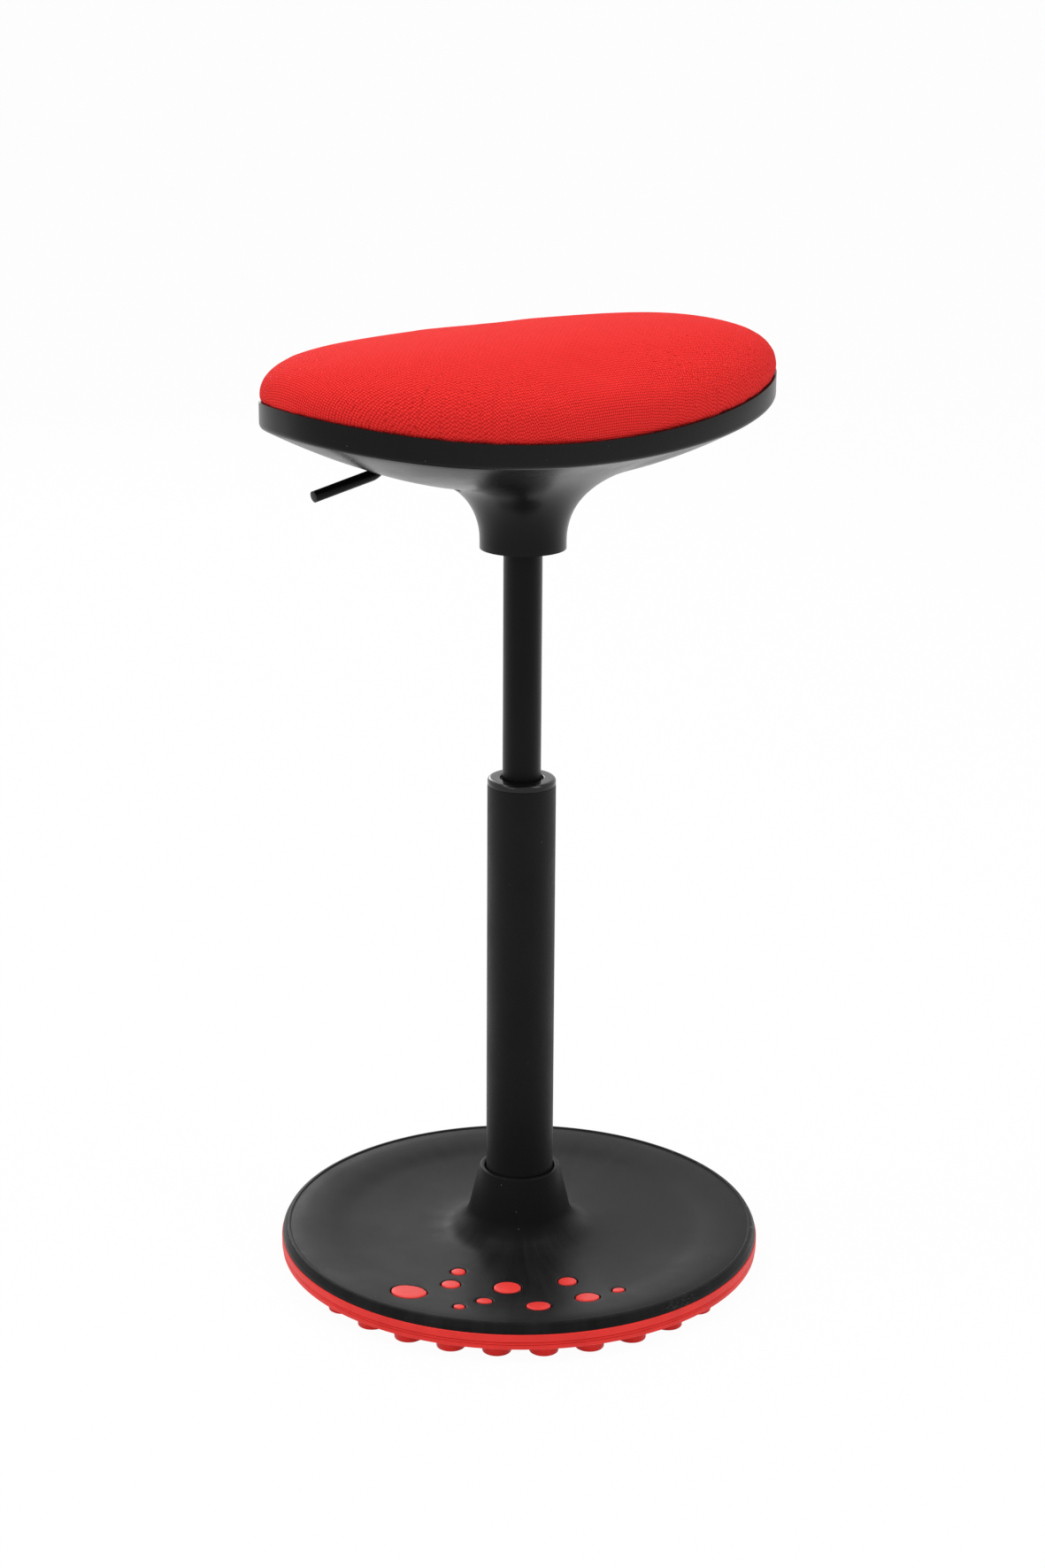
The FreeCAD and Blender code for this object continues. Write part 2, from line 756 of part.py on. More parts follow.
def carrier():
    keep(turned("cone_hub", [
        (dim.tubeRadius, hubLow),
        (dim.tubeRadius + dim.carrierHubWall, hubLow),
        (dim.tubeRadius + dim.carrierHubWall, hubHigh),
        (dim.tubeRadius - dim.tubeConeDrop, hubHigh),
        (dim.tubeRadius - dim.tubeConeDrop, tubeTop)]), "cone_hub")

    halfLong = dim.carrierPlateLength / 2
    halfWide = dim.carrierPlateWidth / 2
    corner = dim.carrierPlateCorner
    body = doc.addObject("PartDesign::Body", "plate_blank")
    sketch = outlineSketch(body, "plate_outline", "XY_Plane", [
        (-halfLong + corner, -halfWide),
        (halfLong - corner, -halfWide, corner, 1),
        (halfLong, -halfWide + corner),
        (halfLong, halfWide - corner, corner, 1),
        (halfLong - corner, halfWide),
        (-halfLong + corner, halfWide, corner, 1),
        (-halfLong, halfWide - corner),
        (-halfLong, -halfWide + corner, corner, 1)])
    pad = body.newObject("PartDesign::Pad", "plate_pad")
    pad.Profile = sketch
    pad.setExpression("Length", dim.carrierPlateThickness.text)
    body.setExpression("Placement.Base.z", carrierLow.text)
    low = carrierLow - dim.overrun
    high = carrierHigh + dim.overrun
    boltHole = cylinder("plate_bolt_hole", dim.boltRadius, low, high)
    shellHole = cylinder("plate_shell_hole", dim.shellScrewRadius, low, high)
    tools = [cylinder("plate_bore", dim.carrierPlateBore, low, high),
             copies("plate_bolt_holes", boltHole, boltPlaces()),
             copies("plate_shell_holes", shellHole, shellScrewPlaces())]
    keep(cut("carrier_plate", body, fuse("carrier_holes", tools)), "carrier_plate")

    boltTop = carrierHigh + dim.insertLength
    bolt = turned("plate_bolt", [
        (zero, carrierLow - dim.boltHeadHeight),
        (dim.boltHeadRadius, carrierLow - dim.boltHeadHeight),
        (dim.boltHeadRadius, carrierLow),
        (dim.boltRadius, carrierLow),
        (dim.boltRadius, boltTop),
        (zero, boltTop)])
    keep(copies("plate_bolts", bolt, boltPlaces()), "plate_bolts")
    insert = ring("pan_insert", dim.boltRadius, dim.boltRadius + dim.insertWall, carrierHigh, boltTop)
    keep(copies("pan_inserts", insert, boltPlaces()), "pan_inserts")


# Release lever with its bracket and pivot

def leverPath(points, radius):
    edges = []
    start = points[0]
    for i in range(1, len(points) - 1):
        before = (points[i - 1] - points[i]).normalize()
        after = (points[i + 1] - points[i]).normalize()
        half = before.getAngle(after) / 2
        back = radius / math.tan(half)
        first = points[i] + before * back
        last = points[i] + after * back
        inward = (before + after).normalize()
        centre = points[i] + inward * (radius / math.sin(half))
        edges.append(Part.LineSegment(start, first).toShape())
        edges.append(Part.Arc(first, centre - inward * radius, last).toShape())
        start = last
    edges.append(Part.LineSegment(start, points[-1]).toShape())
    return Part.Wire(edges)


def lever():
    height = leverHeight.value
    knee = dim.leverKneeReach.value
    elbow = knee + dim.leverKneeRun.value
    inner = dim.leverRadius.value
    points = [FreeCAD.Vector(inner, 0, height),
              FreeCAD.Vector(-knee, 0, height),
              FreeCAD.Vector(-elbow, 0, height - dim.leverKneeDrop.value),
              FreeCAD.Vector(-dim.leverTipReach.value, 0, height - dim.leverTipDrop.value)]
    path = leverPath(points, dim.leverBendRadius.value)
    section = Part.Wire(Part.makeCircle(dim.leverRadius.value, points[0], FreeCAD.Vector(-1, 0, 0)))
    rod = solidFeature("lever_rod", path.makePipeShell([section], True, False))
    pivot = -dim.leverPivotReach
    boss = sidePin("lever_boss", dim.leverBossRadius, dim.leverBossWidth, pivot, leverHeight)
    noseLow = tubeTop + dim.pinShown + dim.leverNoseGap
    nose = cylinder("lever_nose", dim.leverRadius, noseLow, leverHeight)
    bore = sidePin("lever_bore", dim.leverPinRadius + dim.slideGap,
                   dim.leverBossWidth + dim.overrun * 2, pivot, leverHeight)
    keep(cut("release_lever", fuse("lever_blank", [rod, boss, nose]), bore), "release_lever")

    earGap = dim.leverBossWidth + dim.bracketGap * 2
    width = earGap + dim.bracketWall * 2
    low = (pivot - dim.bracketLength / 2, -width / 2, carrierHigh)
    rise = leverRise + dim.bracketOverPin
    outer = block("bracket_outer", low, (dim.bracketLength, width, rise))
    inside = block("bracket_inside",
                   (pivot - dim.bracketLength / 2 - dim.overrun, -earGap / 2, carrierHigh + dim.bracketWall),
                   (dim.bracketLength + dim.overrun * 2, earGap, rise))
    pinLength = width + dim.bracketWall
    hole = sidePin("bracket_hole", dim.leverPinRadius, pinLength + dim.overrun, pivot, leverHeight)
    keep(cut("lever_bracket", outer, fuse("bracket_tools", [inside, hole])), "lever_bracket")
    keep(sidePin("lever_pivot", dim.leverPinRadius, pinLength, pivot, leverHeight), "lever_pivot")


# Forms of the seat: sections across its width, each an outline in a plane X = constant

def halfDepthShare(share):
    return (1 - abs(share) ** seatRoundness) ** (1 / seatRoundness)


def stations():
    ends = stationShares[1:]
    return [-share for share in reversed(ends)] + list(stationShares)


# height of the rim at a share of the half width and a share of the depth
def rimHeight(share, depthShare):
    rise = dim.rimEndRise.value * share * share
    return rimMiddle.value + rise + dim.rimTilt.value * depthShare


def planPoint(share, depthShare, inset):
    across = (dim.seatHalfWidth.value - inset) * share
    depth = dim.seatRearDepth.value if depthShare > 0 else dim.seatFrontDepth.value
    along = dim.seatWidestLine.value + (depth - inset) * depthShare * halfDepthShare(share)
    return across, along


# height of the flank between the neck's flare and the band, straight up in plan
def flankHeight(share, depthShare, inset, lift):
    across, along = planPoint(share, depthShare, inset)
    flareRadius = (dim.neckRadius + dim.flareRun).value
    flareTop = (neckBottom + dim.neckStraight + dim.flareRise).value
    reach = math.hypot(across, along)
    if reach < flareRadius:
        front = dim.flareFrontRise.value * (along / flareRadius) ** 2
        return flareTop + front + lift - flankSagShare * flareRadius * (1 - (reach / flareRadius) ** 2)
    flareTop += dim.flareFrontRise.value * (along / reach) ** 2
    angle = math.atan2(along - dim.seatWidestLine.value, across)
    depth = dim.seatRearDepth.value if angle > 0 else dim.seatFrontDepth.value
    wide = abs(math.cos(angle)) / (dim.seatHalfWidth.value - inset)
    deep = abs(math.sin(angle)) / (depth - inset)
    edge = (wide ** seatRoundness + deep ** seatRoundness) ** (-1 / seatRoundness)
    ratio = math.hypot(across, along - dim.seatWidestLine.value) / edge
    start = flareRadius / max(edge, flareRadius)
    run = min(max((ratio - start) / (1 - start), 0), 1)
    edgeShare = edge * math.cos(angle) / (dim.seatHalfWidth.value - inset)
    edgeDepth = edge * math.sin(angle) / (depth - inset)
    band = dim.bandHeight.value + dim.bandEndDrop.value * edgeShare ** 2
    bandLow = rimHeight(edgeShare, edgeDepth) - band
    climb = flankStraightShare * run + (1 - flankStraightShare) * run ** flankCurveShare
    return flareTop + (bandLow - flareTop) * climb + lift


def arcsThrough(points):
    edges = []
    for i in range(0, len(points) - 2, 2):
        edges.append(Part.Arc(points[i], points[i + 1], points[i + 2]).toShape())
    return edges


def shellSection(share, inset, topLift, flankLift):
    corners = []
    for depthShare in (-1, 1):
        across, along = planPoint(share, depthShare, inset)
        corners.append(FreeCAD.Vector(across, along, rimHeight(share, depthShare) + topLift))
    flank = []
    for depthShare in flankShares:
        across, along = planPoint(share, depthShare, inset)
        flank.append(FreeCAD.Vector(across, along, flankHeight(share, depthShare, inset, flankLift)))
    edges = [Part.LineSegment(corners[0], flank[0]).toShape()]
    edges += arcsThrough(flank)
    edges.append(Part.LineSegment(flank[-1], corners[1]).toShape())
    edges.append(Part.LineSegment(corners[1], corners[0]).toShape())
    return Part.Wire(edges)


# a slab between two heights measured from the rim
def slabSection(share, inset, low, high):
    points = []
    for depthShare, lift in ((-1, low), (1, low), (1, high), (-1, high)):
        across, along = planPoint(share, depthShare, inset)
        points.append(FreeCAD.Vector(across, along, rimHeight(share, depthShare) + lift))
    points.append(points[0])
    return Part.makePolygon(points)


# crown of the pad: a dome over the rim whose sides pull in towards its lower edge
def domeSection(share, inset, lowLift):
    crown = (dim.crownHeight.value - inset) * halfDepthShare(share)
    side = crown * padSideShare
    pull = dim.padPullIn.value
    lift = lowLift + side * abs(share) ** padEndPower
    dome = []
    for degrees in domeAngles:
        depthShare = math.cos(math.radians(degrees))
        across, along = planPoint(share, depthShare, inset)
        raised = (1 - abs(depthShare) ** seatRoundness) ** (1 / seatRoundness)
        height = rimHeight(share, depthShare) + side + (crown - side) * raised
        dome.append(FreeCAD.Vector(across, along, height))
    feet = []
    for depthShare in (-1, 1):
        across, along = planPoint(share, depthShare, inset)
        width = abs(along - dim.seatWidestLine.value)
        along -= min(pull, width / 2) * depthShare
        feet.append(FreeCAD.Vector(across, along, rimHeight(share, depthShare) + lift))
    edges = [Part.LineSegment(feet[0], dome[0]).toShape()]
    edges += arcsThrough(dome)
    edges.append(Part.LineSegment(dome[-1], feet[1]).toShape())
    edges.append(Part.LineSegment(feet[1], feet[0]).toShape())
    return Part.Wire(edges)


def loft(name, sections):
    return solidFeature(name, Part.makeLoft(sections, True, False))


# Seat shell with its band, flank, flared neck, screw wells and lever slot

# The flare turns out from upright by an arc with a given rise. Its inner face is one
# wall further from the arc's centre, so it ends a little higher and nearer the axis.
def flareCurve(rise):
    run = dim.flareRun.value
    return (run * run + rise * rise) / (run * 2)


def flareReach(height, rise, wall):
    curve = flareCurve(rise)
    leg = math.sqrt(max((curve + wall) ** 2 - height * height, 0))
    widest = dim.flareRun.value * (1 + wall / curve) - wall
    return dim.neckRadius.value + min(curve - leg, widest)


def flareRing(foot, height, wall):
    wide = flareReach(height, dim.flareRise.value, wall)
    deep = flareReach(height, dim.flareRise.value + dim.flareFrontRise.value, wall)
    if deep > wide:
        deep = wide
    return Part.Wire(Part.Ellipse(FreeCAD.Vector(0, 0, foot + height), wide, deep).toShape())


# the flare is highest towards the seat's front and back, so its rings are ovals
def flareBody(name, wall, low):
    foot = neckBottom + dim.neckStraight
    sideRise = dim.flareRise.value
    frontRise = sideRise + dim.flareFrontRise.value
    sideHigh = sideRise * (1 + wall / flareCurve(sideRise))
    frontHigh = frontRise * (1 + wall / flareCurve(frontRise))
    heights = [sideHigh * share for share in flareShares]
    lower = loft(name + "_flare", [flareRing(foot.value, height, wall) for height in heights])
    heights = [sideHigh + (frontHigh - sideHigh) * share for share in (0, 0.5, 1)]
    upper = loft(name + "_lip", [flareRing(foot.value, height, wall) for height in heights])
    return fuse(name, [cylinder(name + "_tube", dim.neckRadius - asSize(wall), low, foot), lower, upper])


def seatShell():
    wall = dim.shellWall.value
    over = dim.overrun.value
    flareTop = neckBottom + dim.neckStraight + dim.flareRise
    outer = loft("shell_outer", [shellSection(s, 0, 0, 0) for s in stations()])
    cavity = loft("shell_cavity", [shellSection(s, wall, over, wall) for s in stations()])
    neck = flareBody("neck_outer", 0, neckBottom)
    neckCavity = flareBody("neck_inner", wall, neckBottom - dim.overrun)
    filled = fuse("shell_filled", [outer, neck])
    cavities = fuse("shell_cavities", [cavity, neckCavity])
    wellRadius = dim.shellScrewHeadRadius + dim.shellScrewWellGap
    bossRadius = wellRadius + dim.shellBossWall
    bossLow = flareTop - dim.shellWall * 2
    boss = copies("shell_bosses", cylinder("shell_boss", bossRadius, bossLow, carrierLow), shellScrewPlaces())
    walls = cut("shell_walls", filled, cut("shell_cavities_carved", cavities, boss))
    wellTop = carrierLow - dim.shellScrewFloor
    well = cylinder("shell_well", wellRadius, bossLow - dim.overrun, wellTop)
    hole = cylinder("shell_screw_hole", dim.shellScrewRadius, bossLow, carrierLow + dim.overrun)
    slotEnd = dim.slotKneeLead - dim.leverKneeReach - dim.slotLength
    slotHalfWidth = dim.leverRadius + dim.slotSideGap
    slot = block("shell_slot", (slotEnd, -slotHalfWidth, flareTop),
                 (dim.slotLength, slotHalfWidth * 2, dim.rimRise / 2))
    tools = fuse("shell_tools", [copies("shell_wells", well, shellScrewPlaces()),
                                 copies("shell_screw_holes", hole, shellScrewPlaces()), slot])
    keep(cut("seat_shell", walls, tools), "seat_shell")

    head = dim.shellScrewHeadRadius
    screw = turned("shell_screw", [
        (zero, wellTop - dim.shellScrewHeadHeight),
        (head, wellTop - dim.shellScrewHeadHeight),
        (head, wellTop),
        (dim.shellScrewRadius, wellTop),
        (dim.shellScrewRadius, carrierHigh + dim.bracketWall),
        (zero, carrierHigh + dim.bracketWall)])
    keep(copies("shell_screws", screw, shellScrewPlaces()), "shell_screws")


# Seat pan, foam and fabric cover

def seatPad():
    edge = dim.shellWall.value + dim.panGap.value
    drop = dim.panDrop.value
    skin = dim.coverThickness.value
    lift = dim.padLift.value
    panLow = -(drop + dim.panThickness.value)
    padLow = dim.padSeatGap.value - drop
    slab = loft("pan_slab", [slabSection(s, edge, panLow, -drop) for s in stations()])
    boltReach = dim.carrierPlateLength / 2 - dim.boltEndInset
    overBolts = asSize(rimHeight(boltReach.value / dim.seatHalfWidth.value, 0))
    bossTop = overBolts - dim.panDrop - dim.panThickness / 2
    insertRadius = dim.boltRadius + dim.insertWall
    boss = cylinder("pan_boss", insertRadius + dim.panBossWall, carrierHigh, bossTop)
    bosses = copies("pan_bosses", boss, boltPlaces())
    bore = cylinder("pan_boss_bore", insertRadius, carrierHigh - dim.overrun, carrierHigh + dim.insertLength)
    bores = copies("pan_boss_bores", bore, boltPlaces())
    keep(cut("seat_pan", fuse("pan_with_bosses", [slab, bosses]), bores), "seat_pan")

    foamPlug = loft("foam_plug", [slabSection(s, edge + skin, padLow, lift + skin * 2) for s in stations()])
    foamDome = loft("foam_dome", [domeSection(s, skin, lift + skin) for s in stations()])
    foam = keep(fuse("seat_foam", [foamPlug, foamDome]), "seat_foam")
    skinPlug = loft("skin_plug", [slabSection(s, edge, padLow, lift + skin) for s in stations()])
    skinDome = loft("skin_dome", [domeSection(s, 0, lift) for s in stations()])
    keep(cut("seat_cover", fuse("cover_filled", [skinPlug, skinDome]), foam), "seat_cover")


rubberMat()
baseSteel()
baseCover()
column()
bearing()
pistonRod()
pressureTube()
carrier()
lever()
seatShell()
seatPad()
doc.recompute()

# Checks before anything is written

for item in doc.Objects:
    if "Invalid" in item.State or "Error" in item.State:
        raise RuntimeError("%s is in state %s" % (item.Label, item.State))
for name, item in nodes.items():
    shape = item.Shape
    if shape.isNull() or not shape.isValid() or not shape.Solids:
        raise RuntimeError("%s has no valid solid" % name)

os.makedirs("parts", exist_ok=True)
for name, item in nodes.items():
    item.Shape.exportStep("parts/%s.step" % name)
    box = item.Shape.BoundBox
    print("%-16s %2d solid %11.1f mm3  z %.1f to %.1f" % (
        name, len(item.Shape.Solids), item.Shape.Volume, box.ZMin, box.ZMax))
print(len(nodes), "nodes")
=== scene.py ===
import json
import math

import bmesh
import bpy
from mathutils import Matrix, Vector
from mathutils.bvhtree import BVHTree


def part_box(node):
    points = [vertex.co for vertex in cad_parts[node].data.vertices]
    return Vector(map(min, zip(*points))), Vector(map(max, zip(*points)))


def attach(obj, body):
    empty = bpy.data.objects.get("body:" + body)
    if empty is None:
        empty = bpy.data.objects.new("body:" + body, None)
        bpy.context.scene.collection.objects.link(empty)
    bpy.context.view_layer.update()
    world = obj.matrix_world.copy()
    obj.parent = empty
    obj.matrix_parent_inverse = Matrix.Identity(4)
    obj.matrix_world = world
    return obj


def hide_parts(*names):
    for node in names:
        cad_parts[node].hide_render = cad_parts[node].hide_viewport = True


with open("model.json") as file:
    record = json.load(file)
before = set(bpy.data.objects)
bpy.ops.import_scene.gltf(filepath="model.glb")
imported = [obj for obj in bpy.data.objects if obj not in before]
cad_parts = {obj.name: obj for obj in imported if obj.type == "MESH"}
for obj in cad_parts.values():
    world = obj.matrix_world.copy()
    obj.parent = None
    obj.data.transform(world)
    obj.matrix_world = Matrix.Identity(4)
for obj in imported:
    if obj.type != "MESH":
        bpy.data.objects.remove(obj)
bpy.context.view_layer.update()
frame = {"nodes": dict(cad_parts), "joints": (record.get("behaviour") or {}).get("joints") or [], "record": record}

# Sit-stand stool, dressed. Metres, seat width along X, front towards -Y.

bpy.ops.object.select_all(action="DESELECT")
bpy.context.scene.view_settings.view_transform = "Standard"


def report(stage):
    print("stool:", stage)


# Camera, at the photo's angle

cameraSetup = {
    "distance": 2.1481,
    "height": 1.0323,
    "sideways": 0.0006,
    "turn": 0.637,      # round the stool, towards the lever side
    "tilt": 0.2977,     # down from level
    "roll": 0.0059,
    "lens": 70.957,
    "sensor": 36.0,
    "near": 0.1,
    "far": 60.0,
}


def placeCamera():
    c = cameraSetup
    bpy.ops.object.camera_add()
    camera = bpy.context.object
    camera.name = "photoCamera"
    around = Matrix.Rotation(-c["turn"], 4, "Z")
    aim = Matrix.Rotation(math.pi / 2 - c["tilt"], 4, "X") @ Matrix.Rotation(c["roll"], 4, "Z")
    spot = around @ Vector((c["sideways"], -c["distance"], c["height"]))
    camera.matrix_world = Matrix.Translation(spot) @ around @ aim
    camera.data.lens = c["lens"]
    camera.data.sensor_width = c["sensor"]
    camera.data.clip_start = c["near"]
    camera.data.clip_end = c["far"]
    bpy.context.scene.camera = camera


placeCamera()
report("camera placed")


# Small helpers for node trees

def newNode(tree, kind, **settings):
    made = tree.nodes.new(kind)
    for key, value in settings.items():
        setattr(made, key, value)
    return made


def feed(tree, socket, item):
    if item is None:
        return
    if isinstance(item, bpy.types.NodeSocket):
        tree.links.new(item, socket)
    else:
        socket.default_value = item


def calc(tree, operation, first, second=None, third=None):
    made = newNode(tree, "ShaderNodeMath", operation=operation)
    for socket, item in zip(made.inputs, (first, second, third)):
        feed(tree, socket, item)
    return made.outputs[0]


def times(tree, first, second):
    return calc(tree, "MULTIPLY", first, second)


def noise(tree, vector, scale, detail=3.0, roughness=0.5):
    made = newNode(tree, "ShaderNodeTexNoise")
    feed(tree, made.inputs["Vector"], vector)
    feed(tree, made.inputs["Scale"], scale)
    made.inputs["Detail"].default_value = detail
    made.inputs["Roughness"].default_value = roughness
    return made.outputs["Fac"]


def stretch(tree, vector, scale):
    made = newNode(tree, "ShaderNodeVectorMath", operation="MULTIPLY")
    feed(tree, made.inputs[0], vector)
    made.inputs[1].default_value = scale
    return made.outputs[0]


def ramp(tree, value, low, high, lowOut=0.0, highOut=1.0):
    made = newNode(tree, "ShaderNodeMapRange", interpolation_type="SMOOTHSTEP")
    for socket, item in zip(made.inputs[:5], (value, low, high, lowOut, highOut)):
        feed(tree, socket, item)
    return made.outputs[0]


def blendColour(tree, share, first, second):
    made = newNode(tree, "ShaderNodeMix", data_type="RGBA")
    feed(tree, made.inputs[0], share)
    feed(tree, made.inputs[6], first)
    feed(tree, made.inputs[7], second)
    return made.outputs[2]


def separate(tree, vector):
    made = newNode(tree, "ShaderNodeSeparateXYZ")
    feed(tree, made.inputs[0], vector)
    return made.outputs


def startGroup(name, inputs, outputs):
    group = bpy.data.node_groups.new(name, "ShaderNodeTree")
    for word, kind, value in inputs:
        socket = group.interface.new_socket(word, in_out="INPUT", socket_type=kind)
        if value is not None:
            socket.default_value = value
    for word in outputs:
        group.interface.new_socket(word, in_out="OUTPUT", socket_type="NodeSocketFloat")
    return group, newNode(group, "NodeGroupInput").outputs, newNode(group, "NodeGroupOutput").inputs


def useGroup(tree, group, **values):
    made = newNode(tree, "ShaderNodeGroup", node_tree=group)
    for word, item in values.items():
        feed(tree, made.inputs[word], item)
    return made.outputs


# Shared finishes: each group puts out heights and masks only

def makeGrain():
    group, given, out = startGroup("mouldedGrain", [
        ("Vector", "NodeSocketVector", None),
        ("Scale", "NodeSocketFloat", 900.0),
        ("Cloud", "NodeSocketFloat", 14.0)], ["Height", "Cloudiness"])
    fine = noise(group, given["Vector"], given["Scale"], 2.0, 0.6)
    wide = noise(group, given["Vector"], given["Cloud"], 4.0, 0.55)
    feed(group, out["Height"], ramp(group, fine, 0.3, 0.7))
    feed(group, out["Cloudiness"], ramp(group, wide, 0.3, 0.7))
    return group


def makeDust():
    group, given, out = startGroup("settledDust", [
        ("Vector", "NodeSocketVector", None),
        ("Density", "NodeSocketFloat", 0.5)], ["Mask"])
    cells = newNode(group, "ShaderNodeTexVoronoi")
    feed(group, cells.inputs["Vector"], given["Vector"])
    cells.inputs["Scale"].default_value = 130.0
    speck = ramp(group, cells.outputs["Distance"], 0.06, 0.02)
    chance = noise(group, given["Vector"], 57.0, 1.0)
    chosen = ramp(group, chance, calc(group, "SUBTRACT", 1.05, given["Density"]), 0.75)
    feed(group, out["Mask"], times(group, speck, chosen))
    return group


def makeScuffs():
    group, given, out = startGroup("rimScuffs", [
        ("Vector", "NodeSocketVector", None),
        ("Inner", "NodeSocketFloat", 0.172),
        ("Outer", "NodeSocketFloat", 0.177)], ["Mask"])
    parts = separate(group, given["Vector"])
    squares = [times(group, parts[i], parts[i]) for i in (0, 1)]
    reach = calc(group, "SQRT", calc(group, "ADD", *squares))
    zone = ramp(group, reach, given["Inner"], given["Outer"])
    patches = ramp(group, noise(group, given["Vector"], 9.0, 3.0), 0.54, 0.68)
    upright = stretch(group, given["Vector"], (1.0, 1.0, 7.0))
    scratches = ramp(group, noise(group, upright, 210.0, 4.0, 0.7), 0.56, 0.66)
    worn = times(group, times(group, zone, patches), scratches)
    feed(group, out["Mask"], worn)
    return group


def makeStreaks():
    group, given, out = startGroup("radialStreaks", [
        ("Vector", "NodeSocketVector", None),
        ("Count", "NodeSocketFloat", 9.0)], ["Streak"])
    flat = stretch(group, given["Vector"], (1.0, 1.0, 0.0))
    unit = newNode(group, "ShaderNodeVectorMath", operation="NORMALIZE")
    feed(group, unit.inputs[0], flat)
    long = newNode(group, "ShaderNodeVectorMath", operation="MULTIPLY_ADD")
    feed(group, long.inputs[0], flat)
    long.inputs[1].default_value = (0.8, 0.8, 0.8)
    feed(group, long.inputs[2], unit.outputs[0])
    streak = noise(group, long.outputs[0], given["Count"], 4.0, 0.6)
    feed(group, out["Streak"], ramp(group, streak, 0.35, 0.7))
    return group


def makeWeave():
    group, given, out = startGroup("basketWeave", [
        ("Vector", "NodeSocketVector", None),
        ("Pitch", "NodeSocketFloat", 0.0017)], ["Height", "Fibre"])
    parts = separate(group, given["Vector"])
    drift = calc(group, "SUBTRACT", noise(group, given["Vector"], 90.0, 2.0), 0.5)
    wobble = times(group, drift, 0.3)
    lanes = [calc(group, "ADD", calc(group, "DIVIDE", parts[i], given["Pitch"]), wobble) for i in (0, 1)]
    turns = [times(group, calc(group, "FRACT", lane), math.pi) for lane in lanes]
    bulges = [calc(group, "SINE", turn) for turn in turns]
    cells = calc(group, "ADD", calc(group, "FLOOR", lanes[0]), calc(group, "FLOOR", lanes[1]))
    over = calc(group, "FLOORED_MODULO", cells, 2.0)
    threads = []
    for across, along in ((0, 1), (1, 0)):
        body = calc(group, "POWER", bulges[across], 0.55)
        crest = calc(group, "MULTIPLY_ADD", bulges[along], 0.5, 0.5)
        threads.append(times(group, body, crest))
    under = times(group, threads[1], 0.82)
    pick = times(group, threads[0], over)
    rest = times(group, under, calc(group, "SUBTRACT", 1.0, over))
    feed(group, out["Height"], calc(group, "ADD", pick, rest))
    feed(group, out["Fibre"], noise(group, given["Vector"], 5200.0, 2.0, 0.7))
    return group


grain = makeGrain()
dust = makeDust()
scuffs = makeScuffs()
streaks = makeStreaks()
weave = makeWeave()


def startMaterial(name, settings):
    material = bpy.data.materials.new(name)
    material.use_nodes = True
    tree = material.node_tree
    shader = tree.nodes["Principled BSDF"]
    for word, value in settings.items():
        shader.inputs[word].default_value = value
    where = newNode(tree, "ShaderNodeTexCoord").outputs["Object"]
    return material, tree, shader, where


def feedShader(tree, shader, base, rough, height, distance):
    feed(tree, shader.inputs["Base Color"], base)
    feed(tree, shader.inputs["Roughness"], rough)
    bump = newNode(tree, "ShaderNodeBump")
    bump.inputs["Strength"].default_value = 1.0
    bump.inputs["Distance"].default_value = distance
    feed(tree, bump.inputs["Height"], height)
    feed(tree, shader.inputs["Normal"], bump.outputs[0])


def colour(red, green, blue):
    return (red, green, blue, 1.0)


def grey(tone):
    return colour(tone, tone, tone)


# Finishes of the moulded and metal pieces

plasticLooks = {
    "coverPlastic": {"tone": 0.008, "level": 0.11, "shade": 0.30, "dusty": 0.60, "rough": (0.32, 0.40),
                     "scale": 1300.0, "bump": 0.00003},
    "shellPlastic": {"tone": 0.006, "level": 0.36, "shade": 0.30, "dusty": 0.52, "rough": (0.25, 0.32),
                     "scale": 1500.0, "bump": 0.00001},
    "capPlastic": {"tone": 0.004, "level": 0.50, "shade": 0.60, "dusty": 0.40, "rough": (0.10, 0.16),
                   "scale": 700.0, "bump": 0.000003},
    "tubeEnamel": {"tone": 0.006, "level": 0.30, "shade": 0.25, "dusty": 0.45, "rough": (0.30, 0.38),
                   "scale": 1100.0, "bump": 0.00002},
    "leverEnamel": {"tone": 0.003, "level": 0.30, "shade": 0.30, "dusty": 0.45, "rough": (0.22, 0.32),
                    "scale": 1200.0, "bump": 0.00001},
    "columnPowder": {"tone": 0.010, "level": 0.28, "shade": 0.16, "dusty": 0.50, "rough": (0.42, 0.52),
                     "scale": 1900.0, "bump": 0.00006},
}


def makePlastic(name, worn=False):
    look = plasticLooks[name]
    material, tree, shader, where = startMaterial(name, {
        "Specular IOR Level": look["level"], "Specular Tint": grey(look["shade"])})
    surface = useGroup(tree, grain, Vector=where, Scale=look["scale"])
    specks = useGroup(tree, dust, Vector=where, Density=look["dusty"])["Mask"]
    tone = look["tone"]
    base = blendColour(tree, surface["Cloudiness"], colour(tone * 0.88, tone * 0.88, tone * 0.9),
                       colour(tone * 1.1, tone * 1.1, tone * 1.12))
    base = blendColour(tree, times(tree, specks, 0.5), base, grey(0.5))
    rough = ramp(tree, surface["Cloudiness"], 0.0, 1.0, *look["rough"])
    if worn:
        streak = useGroup(tree, streaks, Vector=where)["Streak"]
        streak = times(tree, streak, ramp(tree, separate(tree, where)[2], 0.034, 0.028))
        rub = useGroup(tree, scuffs, Vector=where)["Mask"]
        base = blendColour(tree, times(tree, streak, 0.5), base, grey(tone * 2.4))
        base = blendColour(tree, times(tree, rub, 0.6), base, grey(0.22))
        rough = calc(tree, "ADD", rough, times(tree, streak, 0.06))
    feedShader(tree, shader, base, rough, surface["Height"], look["bump"])
    return material


